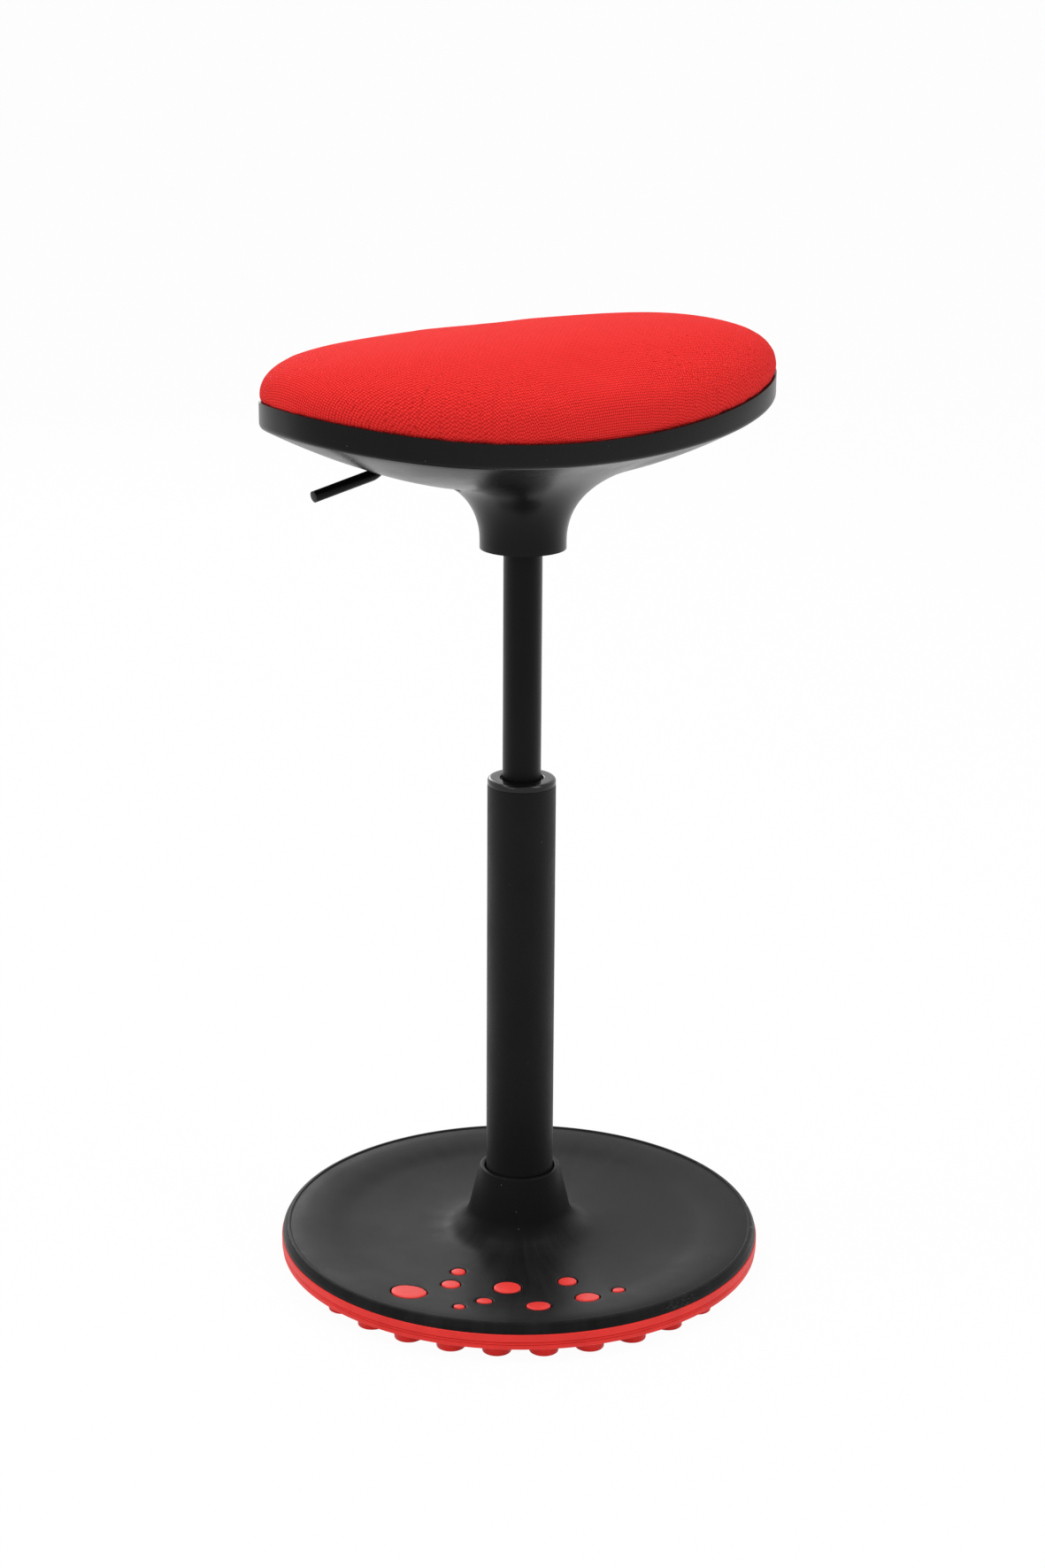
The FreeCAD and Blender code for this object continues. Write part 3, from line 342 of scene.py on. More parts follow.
def makeRubber(name, dark, light, rough):
    material, tree, shader, where = startMaterial(name, {"Specular IOR Level": 0.25})
    surface = useGroup(tree, grain, Vector=where, Scale=1500.0, Cloud=40.0)
    base = blendColour(tree, surface["Cloudiness"], colour(*dark), colour(*light))
    specks = useGroup(tree, dust, Vector=where, Density=0.55)["Mask"]
    base = blendColour(tree, times(tree, specks, 0.4), base, colour(0.8, 0.6, 0.55))
    rough = ramp(tree, surface["Height"], 0.0, 1.0, rough, rough + 0.08)
    feedShader(tree, shader, base, rough, surface["Height"], 0.00003)
    return material


def makeMetal(name, tone, rough, turned):
    material, tree, shader, where = startMaterial(name, {"Metallic": 1.0})
    brush = (1.0, 1.0, 30.0) if turned else (2.0, 60.0, 60.0)
    lines = noise(tree, stretch(tree, where, brush), 120.0, 4.0, 0.6)
    clouds = noise(tree, where, 30.0)
    base = blendColour(tree, clouds, colour(*[t * 0.85 for t in tone]), colour(*tone))
    rough = ramp(tree, lines, 0.3, 0.7, rough, rough + 0.15)
    feedShader(tree, shader, base, rough, lines, 0.00001)
    return material


def makePlywood():
    material, tree, shader, where = startMaterial("panPlywood", {})
    rings = noise(tree, stretch(tree, where, (3.0, 40.0, 40.0)), 6.0, 6.0, 0.6)
    plies = calc(tree, "SINE", times(tree, separate(tree, where)[2], 4200.0))
    base = blendColour(tree, rings, colour(0.42, 0.27, 0.14), colour(0.66, 0.48, 0.29))
    base = blendColour(tree, ramp(tree, plies, 0.3, 0.9, 0.0, 0.35), base, colour(0.30, 0.18, 0.09))
    feedShader(tree, shader, base, ramp(tree, rings, 0.2, 0.8, 0.55, 0.75), rings, 0.0001)
    return material


def makeFoam():
    material, tree, shader, where = startMaterial("seatFoam", {})
    cells = noise(tree, where, 900.0, 3.0, 0.7)
    base = blendColour(tree, cells, colour(0.62, 0.55, 0.36), colour(0.86, 0.81, 0.62))
    feedShader(tree, shader, base, 0.95, cells, 0.0004)
    return material


fabricLook = {
    "pitch": 0.0019,
    "nub": (0.97, 0.036, 0.032),
    # darker red for the weave's hollows: painted shade between the threads
    "paintedValleyShade": (0.50, 0.006, 0.006),
    "depth": 0.0005,
}


def makeFabric():
    f = fabricLook
    material, tree, shader, where = startMaterial("redWeave", {
        "Roughness": 0.85, "Specular IOR Level": 0.12,
        "Sheen Weight": 0.02, "Sheen Roughness": 0.4, "Sheen Tint": colour(1.0, 0.3, 0.25)})
    lie = newNode(tree, "ShaderNodeUVMap", uv_map="weaveLie").outputs[0]
    cloth = useGroup(tree, weave, Vector=lie, Pitch=f["pitch"])
    wear = noise(tree, where, 22.0, 4.0)
    # the weave's hollows take the darker colour as painted shade, the raised threads the nub colour
    raised = ramp(tree, cloth["Height"], 0.15, 0.85)
    base = blendColour(tree, raised, colour(*f["paintedValleyShade"]), colour(*f["nub"]))
    tired = blendColour(tree, 0.12, base, colour(0.75, 0.02, 0.02))
    base = blendColour(tree, ramp(tree, wear, 0.35, 0.7), base, tired)
    rough = ramp(tree, cloth["Fibre"], 0.2, 0.8, 0.78, 0.95)
    height = calc(tree, "MULTIPLY_ADD", cloth["Fibre"], 0.12, cloth["Height"])
    feedShader(tree, shader, base, rough, height, f["depth"])
    return material


finishes = {name: makePlastic(name, worn=name == "coverPlastic") for name in plasticLooks}
rubberLooks = {
    # darker and lighter colour, roughness
    "matRubber": ((0.74, 0.024, 0.019), (0.84, 0.031, 0.024), 0.42),
    "pegRubber": ((0.80, 0.036, 0.030), (0.88, 0.048, 0.039), 0.36),
    "blackRubber": ((0.014, 0.014, 0.014), (0.022, 0.022, 0.022), 0.6),
}
metalLooks = {
    # colour, roughness, turned on a lathe
    "plateSteel": ((0.50, 0.50, 0.51), 0.35, False),
    "groundSteel": ((0.72, 0.72, 0.74), 0.12, True),
    "zincPlate": ((0.62, 0.63, 0.66), 0.28, True),
    "cageBrass": ((0.72, 0.52, 0.22), 0.25, True),
    "turnedAluminium": ((0.76, 0.76, 0.77), 0.22, True),
}
for name, look in rubberLooks.items():
    finishes[name] = makeRubber(name, *look)
for name, look in metalLooks.items():
    finishes[name] = makeMetal(name, *look)
finishes["panPlywood"] = makePlywood()
finishes["seatFoam"] = makeFoam()
finishes["redWeave"] = makeFabric()
report("finishes mixed")

slotFinishes = {
    "red_rubber": "matRubber", "black_rubber": "blackRubber", "steel": "plateSteel",
    "bearing_steel": "groundSteel", "zinc_screw": "zincPlate", "brass_cage": "cageBrass",
    "aluminium": "turnedAluminium", "base_plastic": "coverPlastic", "shell_plastic": "shellPlastic",
    "gloss_black_plastic": "capPlastic", "powder_coat": "columnPowder", "tube_enamel": "tubeEnamel",
    "lever_enamel": "leverEnamel", "pan_wood": "panPlywood", "foam": "seatFoam",
    "red_fabric": "redWeave",
}


def dressCarriedNodes():
    for part in frame["record"]["subparts"]:
        carried = frame["nodes"][part["node"]]
        carried.data.materials.clear()
        carried.data.materials.append(finishes[slotFinishes[part["material_slot"]]])


dressCarriedNodes()
report("carried pieces dressed")


# Modelling helpers

def startPiece(name):
    piece = bpy.context.object
    piece.name = name
    piece.data.name = name
    return piece


def selectNone():
    bpy.ops.object.select_all(action="DESELECT")


def editAll():
    bpy.ops.object.mode_set(mode="EDIT")
    bpy.ops.mesh.select_all(action="SELECT")


def leaveEdit():
    bpy.ops.object.mode_set(mode="OBJECT")


def extrude(rise):
    bpy.ops.mesh.extrude_region_move(TRANSFORM_OT_translate={"value": (0, 0, rise)})


def only(piece):
    selectNone()
    piece.select_set(True)
    bpy.context.view_layer.objects.active = piece


def settle(piece):
    only(piece)
    bpy.ops.object.transform_apply(location=True, rotation=True, scale=True)


def closeUp(piece, gap=0.000002):
    only(piece)
    editAll()
    bpy.ops.mesh.remove_doubles(threshold=gap)
    bpy.ops.mesh.normals_make_consistent(inside=False)
    leaveEdit()


def smoothen(piece, degrees=35):
    only(piece)
    bpy.ops.object.shade_smooth_by_angle(angle=math.radians(degrees))


def addModifier(piece, kind, **settings):
    only(piece)
    made = piece.modifiers.new(kind.lower(), kind)
    for key, value in settings.items():
        setattr(made, key, value)
    bpy.ops.object.modifier_apply(modifier=made.name)


def cutWith(piece, tool):
    addModifier(piece, "BOOLEAN", operation="DIFFERENCE", solver="EXACT", object=tool)
    bpy.data.objects.remove(tool)


def joinAll(pieces, name):
    only(pieces[0])
    for piece in pieces:
        piece.select_set(True)
    if len(pieces) > 1:
        bpy.ops.object.join()
    return startPiece(name)


def finishPiece(piece, finish, body, slotName, *stoodFor):
    piece.data.materials.clear()
    piece.data.materials.append(finishes[finish])
    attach(piece, body)
    if stoodFor:
        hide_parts(*stoodFor)
    report(piece.name + " done")


# loops of points, one over the other, each point in its turn round the middle
def stackRings(name, rings, fill="NOTHING", gap=0.000002):
    sides = len(rings[0])
    selectNone()
    bpy.ops.mesh.primitive_circle_add(vertices=sides, radius=1, fill_type=fill)
    piece = startPiece(name)
    editAll()
    for level in range(1, len(rings)):
        extrude(1)
    leaveEdit()
    for vertex in piece.data.vertices:
        place = round(math.atan2(vertex.co.y, vertex.co.x) / (2 * math.pi) * sides) % sides
        vertex.co = rings[round(vertex.co.z)][place]
    closeUp(piece, gap)
    return piece


def closeEnds(piece):
    only(piece)
    editAll()
    bpy.ops.mesh.fill_holes(sides=0)
    bpy.ops.mesh.normals_make_consistent(inside=False)
    leaveEdit()


def roundTurns(count):
    return [2 * math.pi * i / count for i in range(count)]


# corners are (across, up) or (across, up, round)
def roundCorners(corners, closed=True, stepDegrees=12):
    points = []
    for i, corner in enumerate(corners):
        here = Vector(corner[:2])
        rounding = corner[2] if len(corner) > 2 else 0
        if not rounding or (not closed and i in (0, len(corners) - 1)):
            points.append(tuple(here))
            continue
        before = (Vector(corners[i - 1][:2]) - here).normalized()
        after = (Vector(corners[(i + 1) % len(corners)][:2]) - here).normalized()
        half = before.angle(after) / 2
        centre = here + (before + after).normalized() * rounding / math.sin(half)
        first = here + before * rounding / math.tan(half) - centre
        turn = (math.pi - 2 * half) * (1 if before.cross(after) < 0 else -1)
        steps = max(2, round(abs(math.degrees(turn)) / stepDegrees))
        for step in range(steps + 1):
            points.append(tuple(centre + Matrix.Rotation(turn * step / steps, 2) @ first))
    return points


def turnPiece(name, outline, sides):
    radius, height = outline[0]
    selectNone()
    bpy.ops.mesh.primitive_circle_add(vertices=sides, radius=radius, location=(0, 0, height))
    piece = startPiece(name)
    settle(piece)
    editAll()
    for here, there in zip(outline, outline[1:] + outline[:1]):
        grow = there[0] / here[0]
        extrude(there[1] - here[1])
        bpy.ops.transform.resize(value=(grow, grow, 1), center_override=(0, 0, there[1]))
    leaveEdit()
    closeUp(piece)
    return piece


# Heights shared by the pieces of the base

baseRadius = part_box("rubber_mat")[1].x
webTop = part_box("base_plate")[0].z
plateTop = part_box("base_plate")[1].z
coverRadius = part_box("base_cover")[1].x
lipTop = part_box("base_cover")[1].z

matShape = {
    "boreRadius": 0.030,
    "webLow": 0.010,
    "rimWidth": 0.0065,
    "rimOverPlate": 0.0028,
    "lowerInset": 0.0005,
    "grooveShares": (0.30, 0.36, 0.46, 0.52),
    "grooveDepth": 0.0007,
    "edgeRound": 0.0008,
    "sides": 288,
}
studShape = {
    "radius": 0.0105,
    "draft": 0.0004,
    "lowRound": 0.0006,
    "sink": 0.0004,
    "rows": ((0.160, 30), (0.130, 24), (0.100, 18)),
    "sides": 32,
}
matTop = plateTop + matShape["rimOverPlate"]

coverShape = {
    "wall": 0.0026,
    "lipRadius": 0.0297,
    "lipInner": 0.0260,
    "lipRound": 0.0014,
    "lipDepth": 0.004,
    "lipStep": 0.0002,
    "coneMid": (0.0339, 0.0571),
    "coneRound": 0.060,
    "coneFoot": (0.04145, 0.0249),
    "footRound": 0.0235,
    "dishEntry": 0.066,
    "entryRound": 0.120,
    "dishTop": 0.0221,
    "dishRadius": 0.078,
    "bendRadius": 0.134,
    "bendRise": 0.0029,
    "crestInset": 0.005,
    "crestRise": 0.0071,
    "ridge": 0.0005,
    "ridgeInset": 0.0012,
    "ridgeRound": 0.0006,
    "edgeDrop": 0.0001,
    "edgeRound": 0.0018,
    "kneeLift": 0.0005,
    "kneeRound": 0.005,
    "innerRound": 0.001,
    "lowerRound": 0.0009,
    "dishSteps": 16,
    "sides": 320,
}
crestRadius = coverRadius - coverShape["crestInset"]
crestTop = matTop + coverShape["crestRise"]

# each peg: place along X and Y and radius, as shares of the mat's radius
pegShares = (
    (-0.464, -0.211, 0.0293), (-0.157, -0.545, 0.0375), (-0.562, -0.297, 0.0380),
    (-0.391, -0.451, 0.0551), (-0.759, -0.285, 0.0711), (-0.056, -0.752, 0.0250),
    (-0.198, -0.732, 0.0479), (-0.552, -0.515, 0.0318), (-0.409, -0.686, 0.0483),
    (-0.678, -0.519, 0.0225),
)
pegShape = {
    "gap": 0.0009,
    "rise": 0.0003,
    "dome": 0.0004,
    "edgeRound": 0.0007,
    "mouthRound": 0.0005,
    "insets": (0.225, 0.27, 0.36),
    "sides": 48,
}


def dishHeight(radius):
    c = coverShape
    knee = c["dishTop"] + c["bendRise"]
    if radius < c["bendRadius"]:
        run = max(radius - c["dishRadius"], 0) / (c["bendRadius"] - c["dishRadius"])
        return c["dishTop"] + c["bendRise"] * run * run
    run = (crestRadius - radius) / (crestRadius - c["bendRadius"])
    return crestTop - (crestTop - knee) * run * run


# Rubber mat with its studs and pegs

def makeMat():
    m = matShape
    outer = baseRadius
    lower = outer - m["lowerInset"]
    levels = [m["webLow"] + (matTop - m["webLow"]) * share for share in m["grooveShares"]]
    corners = [(m["boreRadius"], m["webLow"]), (lower, m["webLow"], m["edgeRound"])]
    for i in (0, 2):
        corners += [(lower, levels[i]), (lower - m["grooveDepth"], levels[i]),
                    (lower - m["grooveDepth"], levels[i + 1]), (outer, levels[i + 1])]
    corners += [(outer, matTop, m["edgeRound"]), (outer - m["rimWidth"], matTop),
                (outer - m["rimWidth"], webTop), (m["boreRadius"], webTop)]
    mat = turnPiece("rubberMat", roundCorners(corners), m["sides"])
    smoothen(mat, 40)
    finishPiece(mat, "matRubber", "base", "red_rubber", "rubber_mat")


def makeStuds():
    s = studShape
    top = matShape["webLow"] + s["sink"]
    selectNone()
    bpy.ops.mesh.primitive_cylinder_add(vertices=s["sides"], radius=s["radius"], depth=top,
                                        location=(0, 0, top / 2))
    model = startPiece("stud")
    settle(model)
    for vertex in model.data.vertices:
        if vertex.co.z > top / 2:
            vertex.co.xy *= 1 + s["draft"] / s["radius"]
    bpy.ops.object.mode_set(mode="EDIT")
    bpy.ops.mesh.select_all(action="DESELECT")
    leaveEdit()
    for face in model.data.polygons:
        face.select = face.normal.z < -0.9
    bpy.ops.object.mode_set(mode="EDIT")
    bpy.ops.mesh.bevel(offset=s["lowRound"], segments=4, affect="EDGES")
    leaveEdit()
    copies = []
    for radius, count in s["rows"]:
        for turn in roundTurns(count):
            only(model)
            bpy.ops.object.duplicate()
            copy = bpy.context.object
            copy.location = (radius * math.cos(turn), radius * math.sin(turn), 0)
            copies.append(copy)
    bpy.data.objects.remove(model)
    studs = joinAll(copies, "matStuds")
    settle(studs)
    smoothen(studs, 40)
    finishPiece(studs, "matRubber", "base", "red_rubber", "mat_studs")


def makePegs():
    p = pegShape
    pegs = []
    for acrossShare, alongShare, radiusShare in pegShares:
        centre = Vector((acrossShare, alongShare)) * baseRadius
        radius = radiusShare * baseRadius
        selectNone()
        bpy.ops.mesh.primitive_circle_add(vertices=p["sides"], radius=radius, fill_type="NGON",
                                          location=(*centre, 0))
        peg = startPiece("peg")
        settle(peg)
        editAll()
        for share in p["insets"]:
            bpy.ops.mesh.inset(thickness=radius * share)
        leaveEdit()
        for vertex in peg.data.vertices:
            share = (vertex.co.xy - centre).length / radius
            dome = p["rise"] + p["dome"] * (1 - share * share)
            vertex.co.z = dishHeight(vertex.co.xy.length) + dome
        editAll()
        extrude(0)
        leaveEdit()
        for vertex in peg.data.vertices:
            if not vertex.select:
                vertex.co.z = webTop
        closeUp(peg)
        addModifier(peg, "BEVEL", width=p["edgeRound"], segments=3, limit_method="ANGLE",
                    angle_limit=math.radians(60))
        pegs.append(peg)
    pegs = joinAll(pegs, "rubberPegs")
    smoothen(pegs, 40)
    finishPiece(pegs, "pegRubber", "base", "red_rubber", "rubber_mat")


mouthCut = {
    "over": 0.004,      # the cutter stands this far out of the face
    "under": 0.00003,   # and its round starts this far under it
    "steps": 4,
}


# A cutter whose mouth is rounded where it meets a sloping face. outlineAt gives the loop
# at a distance outside the hole's edge, heightAt the height of the face.
def mouthTool(outlineAt, heightAt, rounding, outward, farDepth):
    m = mouthCut
    rings = [[(x, y, heightAt(x, y) + outward * m["over"]) for x, y in outlineAt(rounding)]]
    for step in range(m["steps"] + 1):
        angle = math.pi / 2 * step / m["steps"]
        away = rounding * (1 - math.sin(angle))
        depth = rounding * (1 - math.cos(angle)) + m["under"]
        rings.append([(x, y, heightAt(x, y) - outward * depth) for x, y in outlineAt(away)])
    rings.append([(x, y, farDepth) for x, y in outlineAt(0)])
    return stackRings("mouthTool", rings, "NGON", 0.0000001)


def roundHole(centre, radius, sides):
    def outlineAt(away):
        wide = radius + away
        return [(centre[0] + wide * math.cos(turn), centre[1] + wide * math.sin(turn))
                for turn in roundTurns(sides)]
    return outlineAt


# Moulded cover of the base

def coverOutline():
    c = coverShape
    wall = c["wall"]
    edgeLean = c["crestInset"] / 2
    knee = crestTop - c["crestInset"] + c["kneeLift"]
    steps = c["dishSteps"]
    dish = [c["dishRadius"] + (crestRadius - c["dishRadius"]) * step / steps for step in range(steps)]
    outer = [
        (c["lipInner"], lipTop - c["lipDepth"]),
        (c["lipInner"], lipTop, c["lipRound"]),
        (c["lipRadius"], lipTop, c["lipRound"]),
        (*c["coneMid"], c["coneRound"]),
        (*c["coneFoot"], c["footRound"]),
        (c["dishEntry"], c["dishTop"], c["entryRound"])]
    outer += [(radius, dishHeight(radius)) for radius in dish]
    outer += [
        (crestRadius - c["ridgeInset"], crestTop - c["ridge"]),
        (crestRadius, crestTop + c["ridge"], c["ridgeRound"]),
        (crestRadius + edgeLean, crestTop - c["edgeDrop"], c["edgeRound"]),
        (coverRadius, knee, c["kneeRound"]),
        (coverRadius, matTop)]
    inner = [
        (c["lipInner"] + c["lipStep"], lipTop - c["lipDepth"]),
        (c["coneMid"][0] - wall, c["coneMid"][1] - wall, c["coneRound"]),
        (c["coneFoot"][0] - wall, c["coneFoot"][1] - wall * 0.9, c["footRound"]),
        (c["dishEntry"], c["dishTop"] - wall, c["entryRound"])]
    inner += [(radius, dishHeight(radius) - wall) for radius in dish]
    inner += [
        (crestRadius, crestTop - wall, c["innerRound"]),
        (coverRadius - wall, matTop)]
    outer = roundCorners(outer, closed=False, stepDegrees=6)
    inner = roundCorners(inner, closed=False, stepDegrees=8)
    return outer + inner[::-1]


def coverHeight(x, y):
    return dishHeight(math.hypot(x, y))


def makeCover():
    c = coverShape
    cover = turnPiece("baseCover", coverOutline(), c["sides"])
    for acrossShare, alongShare, radiusShare in pegShares:
        centre = (acrossShare * baseRadius, alongShare * baseRadius)
        hole = roundHole(centre, radiusShare * baseRadius + pegShape["gap"], pegShape["sides"])
        tool = mouthTool(hole, coverHeight, pegShape["mouthRound"], 1, plateTop)
        cutWith(cover, tool)
    addModifier(cover, "BEVEL", width=c["lowerRound"], segments=3, limit_method="ANGLE",
                angle_limit=math.radians(70), use_clamp_overlap=True)
    smoothen(cover, 32)
    finishPiece(cover, "coverPlastic", "base", "base_plastic", "base_cover")


# Column, cap and lift tube

columnShape = {
    "radius": 0.025,
    "wall": 0.0028,
    "endTaper": 0.0008,
    "taperLength": 0.050,
    "edgeRound": 0.0005,
    "sides": 128,
}
capShape = {
    "slide": 0.01405,
    "mouthRadius": 0.0159,
    "mouthDepth": 0.003,
    "edgeRound": 0.0024,
    "mouthRound": 0.0009,
    "seamRound": 0.0005,
}
tubeShape = {
    "radius": 0.014,
    "bore": 0.0123,
    "lip": 0.010,
    "lipHeight": 0.003,
    "lowRound": 0.0008,
    "coneDrop": 0.0008,
    "noseBore": 0.0105,
    "noseLength": 0.052,
    "sides": 96,
}


def makeColumn():
    c = columnShape
    low, high = (corner.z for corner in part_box("column_tube"))
    bore = c["radius"] - c["wall"]
    column = turnPiece("columnTube", roundCorners([
        (bore, low), (c["radius"] - c["endTaper"], low, c["edgeRound"]),
        (c["radius"], low + c["taperLength"]), (c["radius"], high, c["edgeRound"]),
        (bore, high)]), c["sides"])
    smoothen(column)
    finishPiece(column, "columnPowder", "base", "powder_coat", "column_tube")


def makeCap():
    c = capShape
    radius = columnShape["radius"]
    bore = radius - columnShape["wall"]
    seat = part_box("column_tube")[1].z
    low, high = (corner.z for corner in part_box("guide_bush"))
    cap = turnPiece("guideCap", roundCorners([
        (c["slide"], low, c["seamRound"]), (bore, low, c["seamRound"]), (bore, seat),
        (radius, seat, c["seamRound"]), (radius, high, c["edgeRound"]),
        (c["mouthRadius"], high, c["mouthRound"]), (c["mouthRadius"], high - c["mouthDepth"]),
        (c["slide"], high - c["mouthDepth"], c["seamRound"])]), columnShape["sides"])
    smoothen(cap)
    finishPiece(cap, "capPlastic", "base", "gloss_black_plastic", "guide_bush")


def makeTube():
    t = tubeShape
    low, high = (corner.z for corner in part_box("pressure_tube"))
    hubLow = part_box("cone_hub")[0].z
    nose = high - t["noseLength"]
    tube = turnPiece("liftTube", roundCorners([
        (t["lip"], low), (t["radius"], low, t["lowRound"]), (t["radius"], hubLow),
        (t["radius"] - t["coneDrop"], high), (t["noseBore"], high), (t["noseBore"], nose),
        (t["bore"], nose), (t["bore"], low + t["lipHeight"]), (t["lip"], low + t["lipHeight"])]),
        t["sides"])
    smoothen(tube)
    finishPiece(tube, "tubeEnamel", "seat", "tube_enamel", "pressure_tube")


# Seat shell

seatShape = {
    "halfWidth": 0.2034,
    "front": 0.1017,
    "rear": 0.1158,
    "middle": -0.0055,
    "roundness": 2.3,
    "rimRise": 0.0957,
    "endRise": 0.0238,
    "tilt": 0.00145,
    "band": 0.0160,
    "bandEndDrop": 0.0016,
    "bandRound": 0.0032,
    "wall": 0.003,
    "neckRadius": 0.031,
    "neckStraight": 0.006,
    "flareRun": 0.0354,
    "flareRise": 0.0451,
    "flareFrontRise": 0.0078,
    "flankPower": 1.88,
    "flankStraightShare": 0.53,
    "sweepFrom": 0.30,
    "sweepTo": 0.72,
    "sweepBend": 0.30,
    "lipRound": 0.0013,
    "flankSteps": 15,
    "flareSteps": 14,
    "crowding": 0.62,       # below 1, the sides of a ring crowd towards the seat's ends
    "sides": 320,
}
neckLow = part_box("seat_shell")[0].z
rimMiddle = neckLow + seatShape["rimRise"]
flareLow = neckLow + seatShape["neckStraight"]
flareTop = flareLow + seatShape["flareRise"]


# edge of the seat in plan, at a turn round its middle
def seatEdge(turn):
    s = seatShape
    depth = s["rear"] if math.sin(turn) > 0 else s["front"]
    wide = abs(math.cos(turn)) / s["halfWidth"]
    deep = abs(math.sin(turn)) / depth
    reach = (wide ** s["roundness"] + deep ** s["roundness"]) ** (-1 / s["roundness"])
    return Vector((reach * math.cos(turn), reach * math.sin(turn) + s["middle"]))


def rimHeight(across, along):
    s = seatShape
    depth = s["rear"] if along > s["middle"] else s["front"]
    share = across / s["halfWidth"]
    lean = (along - s["middle"]) / depth
    return rimMiddle + s["endRise"] * share * share + s["tilt"] * lean


def seatTurns(sides):
    crowding = seatShape["crowding"]
    return [math.atan2(math.sin(turn) * crowding, math.cos(turn)) for turn in roundTurns(sides)]


# 0 at the seat's ends and 1 at its front and back, where flare and flank are one sweep
def sweepShare(edge):
    s = seatShape
    run = min(max((edge.normalized().y ** 2 - s["sweepFrom"]) / (s["sweepTo"] - s["sweepFrom"]), 0), 1)
    return run * run * (3 - 2 * run)


def bandFoot(edge):
    s = seatShape
    return rimHeight(*edge) - s["band"] - s["bandEndDrop"] * (edge.x / s["halfWidth"]) ** 2


# the flare under an edge point: it ends highest towards the seat's front and back
def flareSpot(edge, share):
    s = seatShape
    outward = edge.normalized()
    rise = s["flareRise"] + s["flareFrontRise"] * outward.y ** 2
    bend = (s["flareRun"] ** 2 + rise ** 2) / (2 * s["flareRun"])
    angle = math.asin(rise / bend) * share
    arc = Vector((s["neckRadius"] + bend * (1 - math.cos(angle)), flareLow + bend * math.sin(angle)))
    low = Vector((s["neckRadius"], flareLow))
    high = Vector((s["neckRadius"] + s["flareRun"], flareLow + rise))
    climb = (bandFoot(edge) - high.y) / (edge.length - high.x) * (1 + s["sweepBend"])
    knee = Vector((low.x, high.y - s["flareRun"] * climb))
    sweep = low * (1 - share) ** 2 + knee * 2 * share * (1 - share) + high * share * share
    spot = arc.lerp(sweep, sweepShare(edge))
    return Vector((*(outward * spot.x), spot.y))


# the flank under an edge point, from the flare at 0 to the band at 1
def flankSpot(edge, run):
    s = seatShape
    foot = flareSpot(edge, 1)
    side = s["flankStraightShare"] * run + (1 - s["flankStraightShare"]) * run ** s["flankPower"]
    front = (1 + s["sweepBend"]) * run - s["sweepBend"] * run * run
    climb = side + (front - side) * sweepShare(edge)
    height = foot.z + (bandFoot(edge) - foot.z) * climb
    return Vector((*foot.xy.lerp(edge, run), height))


def shellRings():
    s = seatShape
    edges = [seatEdge(turn) for turn in seatTurns(s["sides"])]
    corners = [flankSpot(edge, 1) for edge in edges]
    above = [corner + Vector((0, 0, s["bandRound"])) for corner in corners]
    starts = [1 - s["bandRound"] / (corner - flankSpot(edge, 0)).length
              for edge, corner in zip(edges, corners)]
    below = [flankSpot(edge, start) for edge, start in zip(edges, starts)]
    rings = [[Vector((*edge, rimHeight(*edge))) for edge in edges]]
    rings.append([(top + low) / 2 for top, low in zip(rings[0], above)])
    for share in (0, 0.25, 0.5, 0.75, 1):
        rings.append([a * (1 - share) ** 2 + b * 2 * share * (1 - share) + c * share * share
                      for a, b, c in zip(above, corners, below)])
    for step in range(1, s["flankSteps"] + 1):
        left = 1 - step / s["flankSteps"]
        rings.append([flankSpot(edge, start * left) for edge, start in zip(edges, starts)])
    for step in range(1, s["flareSteps"] + 1):
        rings.append([flareSpot(edge, 1 - step / s["flareSteps"]) for edge in edges])
    rings.append([Vector((*(edge.normalized() * s["neckRadius"]), neckLow)) for edge in edges])
    return rings


shellHoles = {
    "wellReach": 0.0620,
    "wellRadius": 0.0065,
    "wellRound": 0.0008,
    "wellSides": 40,
    "slotStart": -0.106,
    "slotEnd": -0.150,
    "slotWidth": 0.017,
    "slotCorner": 0.005,
    "cornerSteps": 6,
    "slotRound": 0.0022,
    "cutAbove": 0.012,
}


def slotLoop(away):
    h = shellHoles
    half = h["slotWidth"] / 2 + away
    low = h["slotEnd"] - away
    high = h["slotStart"] + away
    corner = h["slotCorner"] + away
    points = []
    for i, (x, y) in enumerate(((high, half), (low, half), (low, -half), (high, -half))):
        centre = (x - math.copysign(corner, x - (low + high) / 2), y - math.copysign(corner, y))
        for step in range(h["cornerSteps"] + 1):
            turn = math.pi / 2 * (i + step / h["cornerSteps"])
            points.append((centre[0] + corner * math.cos(turn), centre[1] + corner * math.sin(turn)))
    return points


def makeShell():
    s = seatShape
    h = shellHoles
    shell = stackRings("seatShell", shellRings())
    skin = bmesh.new()
    skin.from_mesh(shell.data)
    tree = BVHTree.FromBMesh(skin)

    def underHeight(x, y):
        spot = tree.ray_cast(Vector((x, y, 0)), Vector((0, 0, 1)))[0]
        return spot.z

    addModifier(shell, "SOLIDIFY", thickness=s["wall"], offset=-1, use_even_offset=True)
    wells = [roundHole((side * h["wellReach"], 0), h["wellRadius"], h["wellSides"]) for side in (-1, 1)]
    wellTop = flareTop + h["cutAbove"]
    tools = [mouthTool(well, underHeight, h["wellRound"], -1, wellTop) for well in wells]
    tools.append(mouthTool(slotLoop, underHeight, h["slotRound"], -1, rimMiddle))
    for tool in tools:
        cutWith(shell, tool)
    skin.free()
    addModifier(shell, "BEVEL", width=s["lipRound"], segments=4, limit_method="ANGLE",
                angle_limit=math.radians(50), use_clamp_overlap=True)
    smoothen(shell, 30)
    finishPiece(shell, "shellPlastic", "seat", "shell_plastic", "seat_shell")


# Padded seat

